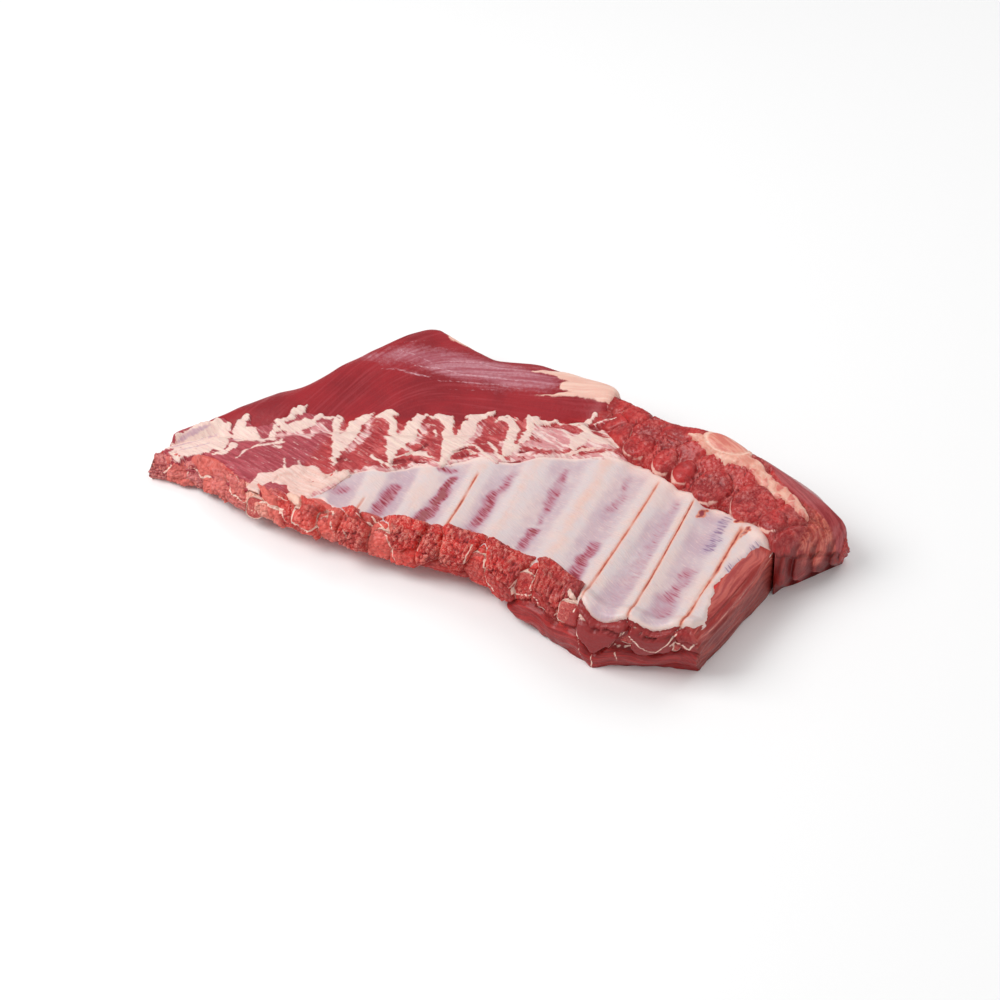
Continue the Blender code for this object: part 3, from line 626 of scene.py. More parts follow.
# the silverskin over the ribs
skinLook = {
    "start": -118, "length": 299, "columns": 376, "rows": 112, "thick": 1.3, "dip": 2.4,
    # where it ends: towards the sawn edge, towards the fat, and at the neck end (column at a given y)
    "nearEdge": (
        (-118, -92), (-110, -90), (-104, -86), (-98, -82), (-92, -83), (-87, -86), (-77, -89), (-68, -91),
        (-56, -87), (-46, -87), (-36, -90), (-29, -81), (-20, -81), (-5, -87), (4, -86), (18, -87), (29, -88),
        (36, -88), (46, -83), (59, -89), (67, -88), (73, -92), (84, -92), (95, -101), (101, -106), (106, -108)),
    "farEdge": (
        (-118, -96), (-108, -86), (-103, -74), (-98, -64), (-94, -54), (-90, -46), (-81, -40), (-71, -38),
        (-65, -31), (-57, -22), (-42, -19), (-32, -6), (-19, 3), (-8, 3), (10, 12), (18, 17), (29, 25), (50, 33),
        (64, 36), (74, 38), (86, 36), (100, 29), (190, 4)),
    "endEdge": ((-110, 176), (-100, 176.5), (-89, 180), (-74, 176.6), (-54, 173), (-36, 175), (-26, 176), (0, 178)),
    # for each rib, neck end first: how red its cut line is, how far up it runs, how peach its crest is
    "slits": (
        (1.0, 0.93, 0.5), (0.95, 0.92, 0.6), (0.75, 0.92, 0.6), (0.0, 0.7, 1.0), (0.1, 0.8, 0.7), (0.85, 0.76, 0.5),
        (0.15, 0.4, 0.5), (0.6, 0.42, 0.3), (0, 0.3, 0.3), (0, 0.1, 0.2)),
    # for each valley between two ribs: how lavender it is, and how far the edge hangs there in a bow
    "lavender": (0.8, 0.75, 0.7, 0.65, 0.6, 0.55, 0.8, 0.9, 0.5), "hang": (1.5, 5, 0, 0, 0, 0, 0, 0, 0),
    # purple bands in the valleys, hatched across: how strong, and a stroke each (x, y, half width)
    "bands": (
        (1.0, ((-27, -24, 1.8), (-27, -43, 2.8), (-26, -58, 3.2), (-26, -76, 3.9))),
        (1.2, ((-40, -20, 1.4), (-33, -19, 1.7), (-30, -17, 0.9))),
        (0.5, ((7, -2, 2.3), (7, -18, 2.8), (5, -30, 2.8))), (0.85, ((5, -27, 2.8), (7, -49, 3), (9, -72, 3))),
        (0.55, ((38, 12, 2.5), (40, -8, 3), (45, -42, 2.3))), (1.0, ((46, -53, 3), (47, -71, 2.8))),
        (0.4, ((80, 23, 2.3), (83, 1, 3), (82, -19, 3))), (0.9, ((88, -49, 3), (88, -69, 4.1), (90, -89, 4.6))),
        (0.25, ((118, 15, 2.5), (122, -41, 3.9), (123, -88, 6.3))),
        (0.5, ((153, -47, 3.4), (151, -77, 5.7), (154, -92, 5.7))),
        (0.75, ((-59, -50, 4.2), (-58, -65, 4.6), (-56, -79, 3.7))), (0.45, ((-88, -65, 3.7), (-96, -70, 2.8)))),
    # bluish veins, and red tears where the ribs go under the lumps
    "blue": (((156, 4, 4.1), (157, -24, 3.9)), ((183, -11, 3), (186, -19, 3.4), (178, -37, 3.4))),
    "tears": (
        ((169, -12, 1.2), (172, -4, 1.8), (174, 2, 1.4)), ((138, 2, 1.0), (139, 7, 2.2), (140, 11, 1.0)),
        ((163, 4, 1.2), (167, 7, 1.8))),
    # colours
    "crest": (212, 196, 196), "crestPink": (218, 196, 192), "valley": (190, 162, 172),
    "veinPale": (172, 152, 176), "vein": (124, 92, 130), "peach": (226, 182, 166), "rim": (234, 206, 198),
    "haze": (184, 158, 170), "stain": (180, 118, 134), "hatch": (158, 64, 84),
    "hatchDark": (142, 30, 46), "slit": (216, 128, 102), "slitCore": (150, 40, 30),
    "roughness": (0.34, 0.5), "coat": 0.15, "under": 0.15,
}
skinNear, skinFar, skinEnd = (corners(*skinLook[k]) for k in ("nearEdge", "farEdge", "endEdge"))


def skinPlace(u, v, w):
    column = skinLook["start"] + skinLook["length"] * u
    foot = footOf(column)
    near = nearLine(column)
    far = np.minimum(skinFar(foot) + 3, coverLine(foot) + 3)
    start = -2.5 - 2.5 * ease((column - 92) / 8)
    arc = start + (far - near - start) * v
    y = near + np.maximum(arc, 0)
    share = np.clip((y - near) / (skinLine(foot) - near), 0, 1)
    x = column + (foot - column) * share
    place, rib, off = ribPlace(column)
    off = off + grain(y, rib * 9, 0, 22) * 0.9 + grain(y, rib * 9, 5, 7) * 0.35
    between = np.abs(np.sin(np.pi * place))
    slit, reach, peach = np.array(skinLook["slits"], float)[rib].T
    slit = slit * (1 - ease((share - reach) / 0.1)) * ease((share + 0.02) / 0.04)
    valley = np.clip(np.floor(place).astype(int), 0, 8)
    lavender, hang = (np.array(skinLook[k])[valley] for k in ("lavender", "hang"))
    wx, wy = warped(x, y, 7, 1.5)
    hatch, haze = np.zeros(x.shape), np.zeros(x.shape)
    for strength, stroke in skinLook["bands"]:
        away = brushed(wx, wy, (stroke,))
        hatch = np.maximum(hatch, strength * ease((3.6 - away) / 6.2))
        haze = np.maximum(haze, (0.4 + 0.6 * strength) * ease((6.5 - away) / 9))
    # over the lip at the neck end it hangs in a bow between two ribs
    hang = np.where(column > 100, -1.0 + hang * between ** 0.7, 0) * ease((column - 100) / 5)
    ragged = grain(x, y, 0, 5) * 0.9 + grain(x, y, 0, 2.2) * 0.5
    inside = np.where(column < 104, y - skinNear(x) + ragged, arc + hang + ragged * 0.4)
    inside = np.minimum(inside, skinFar(x) - y + ragged)
    inside = np.minimum(inside, (skinEnd(y) - column) + ragged)
    cover = skinLook["thick"] * ease(inside / 1.6) - skinLook["dip"] * ease(-inside / 1.5)
    smoothOut = 3.8 * (1 - ease((arc - 1) / 14)) * ease((column - 100) / 6)
    awayY, upZ = overLip(arc, smoothOut + cover * (1 - ease((arc - 6) / 4)))
    face = np.where(arc < 0, ribFace(column, near) - skinDepth + arc, ribFace(x, y) - skinDepth)
    groove = slit * 1.5 * bell(off, 0.9)
    puff = 0.35 * bell(off, 3.5) * slit
    wrinkle = grain(x * 0.25, y * 1.1, 0, 2.6) * 0.22 * ease((between - 0.55) / 0.4) + grain(x, y, 4, 7) * 0.25
    relief = (puff - groove + wrinkle) * ease(inside / 3)
    z = face + np.where(arc < 12, upZ, 0) + cover * ease((arc - 6) / 4) + relief
    under = (1 - w) * np.where(arc < 6, 1.0, 1.6)
    movedY = y + np.where(arc < 12, awayY, 0) + under * np.cos(lipTurn(arc))
    movedZ = z - endSink(column) - under * np.sin(lipTurn(arc))
    paints = {
        "rack": ((x * 0.92 - y * 0.39) * 0.1, (x * 0.39 + y * 0.92) * 0.62, 0 * y),
        "wave": np.where((column > ribX[0]) | (column < ribX[-1]), off, np.sin(np.pi * place) * 10.8),
        "slit": slit * (0.85 + 0.5 * grain(y, rib * 7, 3, 12)),
        "peach": peach * bell(off, 5) * (0.75 + 0.25 * grain(x, y, 7, 12)),
        "valley": lavender * ease((between - 0.35) / 0.55) * (0.85 + 0.35 * grain(x, y, 9, 16)),
        "hatch": hatch * (1.04 + 0.55 * grain(x, y, 27, 8)) * (1 + 0.25 * ease((20 - x) / 30)),
        "haze": haze,
        "tears": ease((1.4 - brushed(x + grain(x, y, 6, 2.5), wy, skinLook["tears"])) / 2.4),
        "rim": np.exp(-np.maximum(inside, 0) / 2.4) + 0.6 * ease((share - 0.86) / 0.14),
        "blue": ease((4.5 - brushed(wx, wy, skinLook["blue"])) / 7),
    }
    return (x, movedY, movedZ), paints


def skinMaterial(look):
    n = nodeSet("silverskin")
    rack = n.painted("rack", "Vector")
    soft = n.noise(n.where, 120, 3, 0.6)
    threads = n.noise(rack, 1.6, 3, 0.6)
    ticks = n.noise(rack, 1.25, 1, 0.4)
    colour = n.lay(look["crest"], look["crestPink"], n.noise(n.where, 45, 3, 0.6), 0.4, 0.62)
    colour = n.lay(colour, look["valley"], n.torn(n.painted("valley"), soft, 0.5), 0.1, 0.95)
    mottled = n.torn(n.painted("peach"), n.noise(n.where, 90, 4, 0.65), 1.1)
    colour = n.lay(colour, look["peach"], mottled, 0.15, 1.1, 0.75)
    colour = n.lay(colour, look["rim"], threads, 0.5, 0.72, 0.5)
    colour = n.lay(colour, look["haze"], n.torn(n.painted("haze"), soft, 0.7), 0.1, 1.1, 0.85)
    hatch = n.painted("hatch")
    for tone, tear, low, high, strength in (("stain", 1.0, 0.05, 0.95, 1), ("hatch", 2.4, 0.6, 1.35, 1),
                                            ("hatchDark", 2.2, 1.05, 1.6, 1), ("crestPink", -2.4, 0.9, 1.5, 0.12)):
        colour = n.lay(colour, look[tone], n.torn(hatch, ticks, tear), low, high, strength)
    colour = n.lay(colour, look["rim"], n.torn(n.painted("rim"), soft, 0.5), 0.25, 0.9)
    blue = n.painted("blue")
    colour = n.mix(n.math("MULTIPLY", blue, 0.35), colour, look["veinPale"])
    colour = n.lay(colour, look["vein"], n.torn(blue, ticks, 2.6), 0.7, 1.4, 0.8)
    tears = n.painted("tears")
    torn, within = n.torn(tears, n.noise(n.where, 300, 3, 0.6), 1.6), n.step(tears, 0.02, 0.3)
    colour = n.lay(colour, look["slit"], torn, 0.2, 0.7, within)
    colour = n.lay(colour, look["hatchDark"], torn, 0.7, 1.1, within)
    slit = n.painted("slit")
    wander = n.torn(n.math("ABSOLUTE", n.painted("wave")), n.noise(n.where, 300, 2), 0.9)
    colour = n.lay(colour, look["peach"], wander, 2.6, 0.9, n.math("MULTIPLY", slit, 0.6))
    colour = n.lay(colour, look["slit"], wander, 1.35, 0.5, n.step(slit, 0.05, 0.9))
    colour = n.lay(colour, look["slitCore"], wander, 0.65, 0.15, n.step(slit, 0.3, 1.1))
    height = n.math("MULTIPLY_ADD", threads, 0.35, n.math("MULTIPLY", soft, 0.25))
    return n.wet(colour, n.spread(soft, *look["roughness"]), height, look["coat"], look["under"], 0.4)


finish(cage("ribSkin", skinLook, skinPlace), skinMaterial(skinLook), "silverskin", "silverskin")
print("silverskin done")

# the strips of fat that reach from the silverskin to the smooth muscle, and the red muscle between them
fatLook = {
    "start": -225, "length": 301, "columns": 400, "rows": 100, "proud": 1.1, "thick": 1.8,
    "farEdge": (
        (-226, -60), (-216, -48), (-207, -40), (-202, -35), (-198, -36), (-193, -41), (-188, -29), (-178, -34),
        (-168, -28), (-161, -18), (-154, -10), (-146, -7), (-130, -2), (-121, -3), (-110, 8), (-102, 11), (-93, 8),
        (-86, 12), (-73, 22), (-62, 27), (-50, 26), (-38, 39), (-29, 45), (-18, 47), (-6, 51), (4, 52), (16, 62),
        (26, 66), (36, 70), (48, 72), (62, 60), (76, 44)),
    # strokes (x, y, half width) of white fat
    "strips": (
        ((-212, -77, 4.1), (-208, -70, 6.9), (-201, -63, 8.3), (-201, -51, 8.3), (-196, -49, 5.5)),
        ((-221, -70, 3.5), (-214, -58, 5), (-208, -48, 5), (-203, -42, 3)), ((-218, -66, 5), (-206, -54, 7)),
        ((-217, -74, 2.8), (-210, -74, 3.2)), ((-197, -41, 2.8), (-188, -61, 2.6), (-198, -61, 2.8)),
        ((-187, -28, 1.1), (-187, -34, 3.7), (-186, -41, 4.1)),
        ((-182, -47, 3.7), (-180, -39, 4.6), (-171, -43, 2.8), (-164, -45, 1.3)),
        ((-181, -56, 2.3), (-182, -65, 1.1), (-188, -68, 0.9)),
        ((-164, -45, 0.9), (-160, -41, 1.5), (-164, -29, 1.7), (-161, -23, 1.3)),
        ((-167, -27, 0.5), (-161, -23, 1.1), (-157, -16, 1.3)),
        ((-158, -13, 1.5), (-155, -9, 3.1), (-154, -3, 1.1)),
        ((-162, -30, 1.3), (-157, -26, 2.4), (-150, -21, 3.7), (-144, -14, 3.1), (-140, -5, 1.5)),
        ((-139, -6, 0.6), (-135, -5, 1.4), (-130, -1, 1.4), (-126, -4, 1.1)),
        ((-130, -3, 1.6), (-127, -8, 2.1), (-118, -22, 3)),
        ((-117, -23, 3.2), (-113, -30, 3.9), (-109, -40, 2.1), (-105, -49, 0.7)),
        ((-113, -28, 4.6), (-112, -18, 4.8), (-115, -2, 4.4), (-112, 4, 3), (-109, 10, 1.1)),
        ((-105, 9, 0.7), (-101, 11, 1.6), (-98, 15, 1.8), (-94, 17, 0.9)),
        ((-97, 12, 2.1), (-91, 8, 1.6), (-86, -1, 2.5)),
        ((-84, -6, 3.4), (-80, -14, 3.7), (-75, -24, 2.1), (-72, -34, 0.9)),
        ((-78, -11, 5.1), (-76, -1, 5.1), (-78, 12, 4.1), (-78, 19, 2.8), (-74, 24, 1.1)),
        ((-70, 24, 0.7), (-65, 27, 1.8), (-59, 28, 1.6), (-56, 25, 1.4)),
        ((-61, 26, 2.3), (-56, 20, 2.3), (-50, 12, 3)),
        ((-49, 9, 3.9), (-43, -3, 3.4), (-41, -12, 1.8), (-40, -17, 0.9)),
        ((-44, 5, 4.8), (-42, 16, 5.1), (-43, 29, 4.4), (-41, 36, 3.2), (-37, 40, 1.8), (-33, 45, 1.4)),
        ((-48, 34, 0.7), (-43, 37, 0.9)), ((-27, 41, 0.9), (-23, 47, 1.6), (-17, 46, 1.6)),
        ((-21, 46, 2.1), (-16, 41, 2.8), (-10, 26, 3), (-6, 15, 2.1), (-7, 6, 1.1)),
        ((-24, 44, 1.6), (-18, 44, 2.3), (-12, 33, 2.5), (-9, 24, 1.6), (-9, 14, 0.9)),
        ((-4, 55, 0.7), (-6, 50, 1.8), (-4, 40, 2.3), (-2, 32, 2.3), (-3, 23, 1.1), (-6, 10, 0.7)),
        ((-9, 52, 0.9), (-5, 51, 1.1), (3, 54, 1.1), (8, 58, 0.7)),
        ((22, 58, 1.1), (25, 61, 1.6), (28, 66, 1.1), (31, 73, 1.8)),
        ((29, 57, 2.3), (34, 53, 3.4), (33, 44, 3.9), (32, 36, 2.8)), ((43, 50, 4.6), (52, 52, 4.6), (58, 51, 2.3))),
    # thin strands, and hair lines
    "strands": (
        ((34, 67, 0.7), (41, 70, 0.8), (48, 71, 0.7)), ((33, 55, 0.9), (40, 61, 1.1), (51, 57, 0.7)),
        ((7, 59, 0.5), (17, 57, 0.6), (22, 56, 0.6)), ((19, 48, 0.5), (29, 42, 0.6)),
        ((-171, -68, 0.6), (-169, -58, 1.1), (-164, -51, 1.1), (-157, -47, 0.9), (-149, -42, 0.9)),
        ((-74, -28, 0.7), (-70, -21, 0.9), (-65, -14, 0.9), (-60, -11, 1), (-50, -14, 0.8)),
        ((-70, -31, 0.6), (-66, -26, 0.7)), ((-62, -15, 1.4), (-57, -12, 2.1), (-52, -14, 0.9)),
        ((-41, -14, 1.1), (-41, -2, 1.1), (-37, 8, 1.1), (-29, 10, 1.1), (-16, 1, 0.9), (-7, 1, 0.8)),
        ((-40, -1, 0.7), (-34, 4, 0.7), (-25, 2, 0.8)), ((-22, 17, 1.1), (-14, 10, 1.4), (-8, 4, 0.9)),
        ((-87, -29, 1.6), (-80, -32, 1.4), (-74, -37, 0.7)), ((-102, -39, 0.9), (-96, -41, 0.9)),
        ((-7, 7, 0.9), (-5, 16, 1.4), (-1, 21, 0.9)), ((-153, -47, 0.7), (-148, -48, 0.9)),
        ((-139, -58, 0.9), (-132, -66, 0.8)), ((-129, -56, 0.8), (-125, -61, 0.7)),
        ((-129, -19, 0.9), (-122, -21, 1.1)), ((-153, -40, 0.9), (-150, -43, 0.6)), ((-63, 14, 1.4), (-59, 10, 0.9))),
    "ticks": (
        ((-99, -29, 0.5), (-85, -38, 0.5)), ((-104, -25, 0.5), (-91, -29, 0.5)),
        ((-104, -13, 0.8), (-101, -13, 0.7)), ((-106, 1, 0.6), (-100, 2, 0.7)), ((-103, 5, 0.6), (-96, 5, 0.5)),
        ((-110, 2, 0.5), (-106, 2, 0.5)), ((-70, -5, 0.6), (-64, -4, 0.5)), ((-68, -1, 0.5), (-59, 2, 0.4)),
        ((-71, 18, 0.5), (-64, 19, 0.5)), ((-61, -4, 0.5), (-47, -15, 0.6)), ((-68, 4, 0.5), (-66, 13, 0.5)),
        ((-35, 36, 0.5), (-26, 34, 0.5)), ((-143, -38, 0.5), (-139, -40, 0.5)),
        ((-137, -35, 0.5), (-135, -36, 0.5)), ((-123, -48, 0.5), (-113, -48, 0.6)),
        ((-32, 32, 0.6), (-25, 28, 0.5)), ((-32, 13, 0.6), (-24, 14, 0.6))),
    # fat smeared thin, peach fat, veins in the fat, and dark gaps
    "smears": (
        ((1, 43, 3.4), (10, 40, 5.7), (19, 38, 4.6)), ((7, 29, 2.3), (21, 30, 2.5)), ((36, 50, 6), (46, 44, 6)),
        ((-146, -31, 2.8), (-138, -26, 4.6), (-138, -13, 4.6), (-125, -18, 2.8)),
        ((-105, -30, 2.3), (-104, -18, 4.1), (-104, -8, 4.1), (-107, 3, 2.3)),
        ((-70, -13, 2.3), (-69, -3, 3.4), (-71, 13, 3.4)), ((-39, 3, 3), (-36, 15, 4.1), (-36, 31, 3.9)),
        ((0, 46, 5), (14, 44, 8), (30, 42, 7)), ((-2, 24, 3), (10, 30, 4), (26, 36, 6)), ((40, 48, 7), (54, 46, 6)),
        ((-12, 20, 3), (0, 14, 2.5), (12, 22, 2)), ((-160, -36, 4), (-148, -26, 6)),
        ((-122, -16, 4), (-112, -8, 4)), ((-86, -8, 4), (-80, 4, 4))),
    "peach": (
        ((30, 27, 0.6), (37, 35, 1.1), (45, 40, 1.3)), ((-137, -99, 2.8), (-144, -88, 4.1), (-143, -78, 4.1)),
        ((-121, -67, 4.1), (-110, -78, 4.1), (-103, -89, 1.9)),
        ((-139, -100, 1.3), (-142, -86, 3.3), (-140, -76, 3.3)),
        ((-133, -79, 2), (-126, -74, 4.6), (-119, -70, 5.5)),
        ((-124, -61, 2.8), (-117, -59, 4.6), (-108, -63, 3.7)), ((-114, -77, 3.7), (-106, -88, 1.3)),
        ((-121, -78, 3.1), (-107, -70, 3.7)), ((-116, -82, 4), (-107, -74, 5), (-102, -63, 5), (-96, -52, 3.4)),
        ((-134, -72, 4), (-126, -66, 5), (-116, -62, 5)), ((-105, -67, 2.8), (-100, -60, 1.8), (-96, -55, 1.3))),
    "veins": (
        ((-220, -71, 1.2), (-211, -61, 2.2), (-203, -52, 1.6), (-200, -47, 0.8)),
        ((-222, -66, 1.0), (-214, -54, 2.0), (-207, -45, 1.2)),
        ((-215, -74, 0.6), (-206, -67, 1.2), (-198, -60, 0.8)), ((-188, -52, 0.6), (-181, -45, 1.0))),
    "gaps": (
        ((30, 62, 2.3), (36, 64, 2.5), (42, 67, 1.1)), ((-3, 2, 0.9), (4, 7, 1.8), (11, 8, 1.1)),
        ((1, 17, 1.1), (6, 20, 0.9)), ((-134, -81, 0.6), (-134, -75, 0.7), (-130, -70, 0.6), (-126, -68, 0.4)),
        ((-105, -63, 0.9), (-103, -56, 1.1), (-100, -52, 0.8)),
        ((-105, -43, 1.8), (-102, -39, 2.3), (-98, -39, 0.9)), ((-105, -61, 1.1), (-102, -57, 1)),
        ((-70, -28, 1.6), (-66, -23, 2.1), (-64, -22, 0.9)), ((-37, -19, 1.8), (-32, -18, 1.8)),
        ((-33, -2, 1), (-28, 2, 0.7)), ((-3, 3, 1.6), (4, 8, 1.4)),
        ((-67, -18, 0.9), (-61, -9, 0.9), (-59, -2, 1.1)), ((-39, -1, 1.1), (-34, 6, 0.9), (-28, 7, 0.9)),
        ((-62, -19, 0.9), (-52, -19, 0.9))),
    # two reds in patches, streaks and grooves along the fibres
    "dark": (168, 40, 46), "bright": (186, 60, 62), "patchScale": 70,
    "streak": 0.7, "streakColour": (220, 116, 114), "groove": (150, 22, 30),
    "roughness": (0.36, 0.54), "fibreBump": 0.5, "feather": 2.2, "coat": 0.12, "under": 0.12,
    # painted over them: mask, colour or two, from, to, tear
    "layers": (
        ("loin", ((158, 50, 62), (182, 76, 86)), 0.3, 1.0, 0.3),
        ("crack", (214, 128, 126), 0.5, 1.3, 0.9),
        ("smear", ((212, 140, 142), (240, 208, 202)), 0.15, 0.75, 0.9),
        ("gaps", (150, 36, 42), 0.3, 0.7, 0.3),
        ("peach", ((233, 190, 178), (238, 205, 195)), 0.25, 0.75, 0.4),
        ("white", ((233, 199, 190), (240, 213, 200)), 0.18, 0.8, 0.8),
        ("vein", (202, 164, 176), 0.2, 1.2, 0.8),
    ),
}
fatFar = corners(*fatLook["farEdge"])


def fatPlace(u, v, w):
    x = fatLook["start"] + fatLook["length"] * u
    loin = 1 - ease((x + 106) / 16)
    low = (nearLine(x) + 1.5) * loin + np.maximum(skinFar(x) - 5, nearLine(x) + 2) * (1 - loin)
    y = low + (fatFar(x) + 9 - low) * v
    cover = coverLine(x)
    turn = ease((y - cover + 8) / 13)
    under = (ribFace(x, y) - 0.6) * (1 - turn) + (skirtTop(x, np.maximum(y, cover)) + 0.3) * turn
    along, across = x * 0.97 - y * 0.24, y * 0.97 + x * 0.24  # the way the muscle between the ribs runs
    flow = grain(along * 0.16, across, 51, 1.7) + grain(along * 0.1, across, 55, 3.4) * 0.7
    fine = grain(along * 0.2, across, 58, 1.0)
    wob = grain(x, y, 2, 6) * 1.3 + grain(x, y, 5, 2.6) * 0.7
    wx = x + grain(x, y, 8, 7) * 1.1 + grain(x, y, 9, 2.8) * 0.35
    wy = y + grain(x, y, 12, 7) * 1.1 + grain(x, y, 14, 2.8) * 0.35
    strips = 1.0 - brushed(wx, wy, fatLook["strips"]) + flow * 1.6 + fine * 0.7
    strands = 0.2 - brushed(wx, wy, fatLook["strands"]) + flow * 0.6 + fine * 0.4
    hairs = -0.1 - brushed(x, y, fatLook["ticks"]) + grain(x, y, 20, 5) * 0.4
    curly = ease((11 - y + skinFar(x)) / 5) * ease((x + 108) / 8) * ease(grain(x, y, 75, 9) * 3 + 1.1)
    curls = (0.13 - np.abs(grain(along * 0.7, across, 71, 3.6))) / 0.22 - 3 * (1 - curly)
    white = np.maximum(np.maximum(strips, strands), np.maximum(hairs, curls))
    peach = 0.8 - brushed(wx, wy, fatLook["peach"]) + grain(x, y, 23, 4) * 1.3 + fine * 0.5
    gaps = -brushed(wx, wy, fatLook["gaps"]) + grain(x, y, 25, 3) * 0.5
    veins = -brushed(wx, wy, fatLook["veins"]) + fine * 0.8
    smear = -brushed(wx, wy, fatLook["smears"]) + flow * 3.2 + fine * 1.4
    # the silverskin's far edge runs out in a thin pale film
    smear = np.maximum(smear, 2.5 - y + skinFar(x) - 12 * ease((-100 - x) / 12) + flow * 3)
    nearLimit = (nearLine(x) + 9 + 5 * ease((-150 - x) / 30)) * loin + (skinFar(x) - 1.5) * (1 - loin)
    inside = np.minimum(y - nearLimit, fatFar(x) - y) + wob * 0.8
    inside = np.minimum(inside, x + 224 + wob)
    inside = np.maximum(inside, np.maximum(white, peach) + 0.3)
    rise = 0.55 * ease((strips + 1) / 3.4) + 0.2 * ease((strands + 0.6) / 1.4) + 0.9 * ease((peach + 1) / 3)
    rise = rise - 1.5 * ease((gaps + 0.6) / 1.2) + grain(x, y, 31, 3.2) * 0.25 * (white > -0.5)
    rise = rise + (flow * 0.22 + fine * 0.14) * (1 - 0.8 * ease(peach + 0.5))
    hollow = -1.4 * ease((-white - 1) / 4) * ease((x + 135) / 20)
    z = (under + rise + hollow + fatLook["proud"] * ease(inside / 1.0) - 2.2 * ease(-inside / 1.3)
         - (1 - w) * fatLook["thick"])
    paints = {
        "fibre": (along * 0.05, across * 0.5, z * 0.05),
        "white": ease((white + 0.8) / 2.4),
        "peach": ease((peach + 0.5) / 1.2),
        "gaps": ease((gaps + 0.4) / 0.8),
        "loin": ease((-116 - x) / 14),
        "vein": ease((veins + 0.9) / 2.2),
        "crack": ease((flow - 0.45) / 0.5) * ease((x + 150) / 30),
        "smear": ease((smear + 2.0) / 5),
    }
    return (x, y, z), paints


finish(cage("fatStrips", fatLook, fatPlace), meatMaterial("fatStrips", fatLook), "fat", "silverskin", "slab_meat")
print("fat strips done")

# the smooth thin muscle over the far side
skirtLook = {
    "start": -212, "length": 250, "columns": 290, "rows": 76, "levels": 8, "roundness": 3.2,
    # strokes (x, y, half width): pale streaks, fat along the far border, and a whitish film
    "streaks": (
        ((-126, 51, 0.6), (-115, 57, 1), (-100, 56, 1.2), (-90, 58, 0.8)),
        ((-125, 75, 0.8), (-111, 76, 1), (-94, 72, 0.5)),
        ((-105, 65, 0.8), (-88, 68, 1), (-70, 69, 0.9), (-45, 75, 0.9), (-20, 81, 0.5)),
        ((-89, 56, 0.4), (-67, 62, 0.8), (-41, 69, 0.8), (-20, 74, 0.4)), ((-129, 62, 0.4), (-106, 67, 0.5)),
        ((-79, 50, 0.3), (-39, 65, 0.5)), ((-131, 79, 0.4), (-113, 93, 0.5)), ((-62, 84, 0.8), (-30, 88, 0.5)),
        ((-86, 78, 0.9), (-66, 86, 0.7), (-50, 88, 0.4))),
    "farFat": (
        ((-26, 92, 1.0), (-8, 97, 4), (6, 97, 7), (24, 94, 9), (40, 90, 9)), ((2, 88, 4), (20, 90, 8)),
        ((-14, 70, 0.4), (-2, 76, 1.2), (12, 84, 3), (26, 88, 6), (34, 90, 6)),
        ((-105, 110, 1.3), (-97, 106, 2.6), (-85, 104, 2.2), (-70, 99, 1.2))),
    "veil": ((-140, 60, 8), (-112, 74, 16), (-80, 78, 20), (-40, 80, 20), (-12, 86, 14)),
    # two reds in patches, streaks and grooves along the fibres
    "dark": (134, 14, 26), "bright": (154, 24, 34), "patchScale": 24,
    "streak": 0.4, "streakColour": (168, 58, 66), "groove": (128, 18, 32),
    "roughness": (0.4, 0.56), "fibreBump": 0.35, "coat": 0.06, "under": 0.1,
    # painted over them: mask, colour or two, from, to, tear
    "layers": (
        ("nearEdge", ((158, 20, 28), (172, 34, 40)), 0.2, 0.9, 0.3),
        ("veil", ((168, 88, 100), (190, 130, 140)), 0.15, 1.35, 1.2),
        ("streaks", (214, 168, 176), 0.35, 1.2, 0.9),
        ("farFat", ((228, 178, 162), (236, 196, 180)), 0.2, 0.9, 1.0),
    ),
}


def skirtPlace(u, v, w):
    x = skirtLook["start"] + skirtLook["length"] * u
    cover, far = coverLine(x), farLine(x)
    y = cover + 0.5 + (far - cover - 0.5) * v
    t = (y - cover) / (far - cover)
    r = skirtLook["roundness"]
    corner = (r * (1 - rounded((far - y) / r)) + 2.5 * (1 - rounded((x - skirtLook["start"]) / 4))
              + 4.5 * (1 - rounded((38 - x) / 7)))
    turned = ease((x + 160) / 100)  # the fibres swing from across the rack at the tip to along it
    along = x * 0.96 + y * 0.28
    across = (y * 0.27 - x * 0.96) * (1 - turned) + (y * 0.96 - x * 0.28) * turned
    streak = -brushed(*warped(x, y, 9, 1, (3, 6)), skirtLook["streaks"])
    fatty = -brushed(*warped(x, y, 5, 1.6, (3, 6)), skirtLook["farFat"])
    veil = -brushed(x, y, (skirtLook["veil"],)) + grain(x * 0.35, y * 1.4, 9, 9) * 6
    strands = grain(along * 0.12, across * 0.9, 0, 3) * 0.22
    top = skirtTop(x, y) + strands + 0.3 * ease((streak + 1) / 1.2) + 0.8 * ease((fatty + 1) / 2.5)
    top = top + grain(x, y, 44, 12) * 0.5
    low = np.minimum(shelfTop(x, y), top - 1.5)
    z = low + (top - corner - low) * w
    side, belly = (w > 0) & (w < 1), np.sin(np.pi * w)
    movedY = y + np.where(v == 1, (2.2 * belly + crumble(x, y, z, 12) * 0.5) * side, 0)
    movedX = x - np.where(u == 0, 2.2 * belly * side, 0)
    paints = {
        "fibre": (along * 0.02, across * 0.42, z * 0.1),
        "veil": ease((veil + 5) / 18),
        "streaks": ease((streak + 0.9) / 2.2),
        "farFat": ease((fatty + 1.0) / 2.2),
        "nearEdge": 1 - ease((t - 0.04) / 0.2),
    }
    return (movedX, movedY, z), paints


finish(cage("skirtMuscle", skirtLook, skirtPlace), meatMaterial("skirtMuscle", skirtLook), "skirt", "skirt_muscle")
print("skirt done")

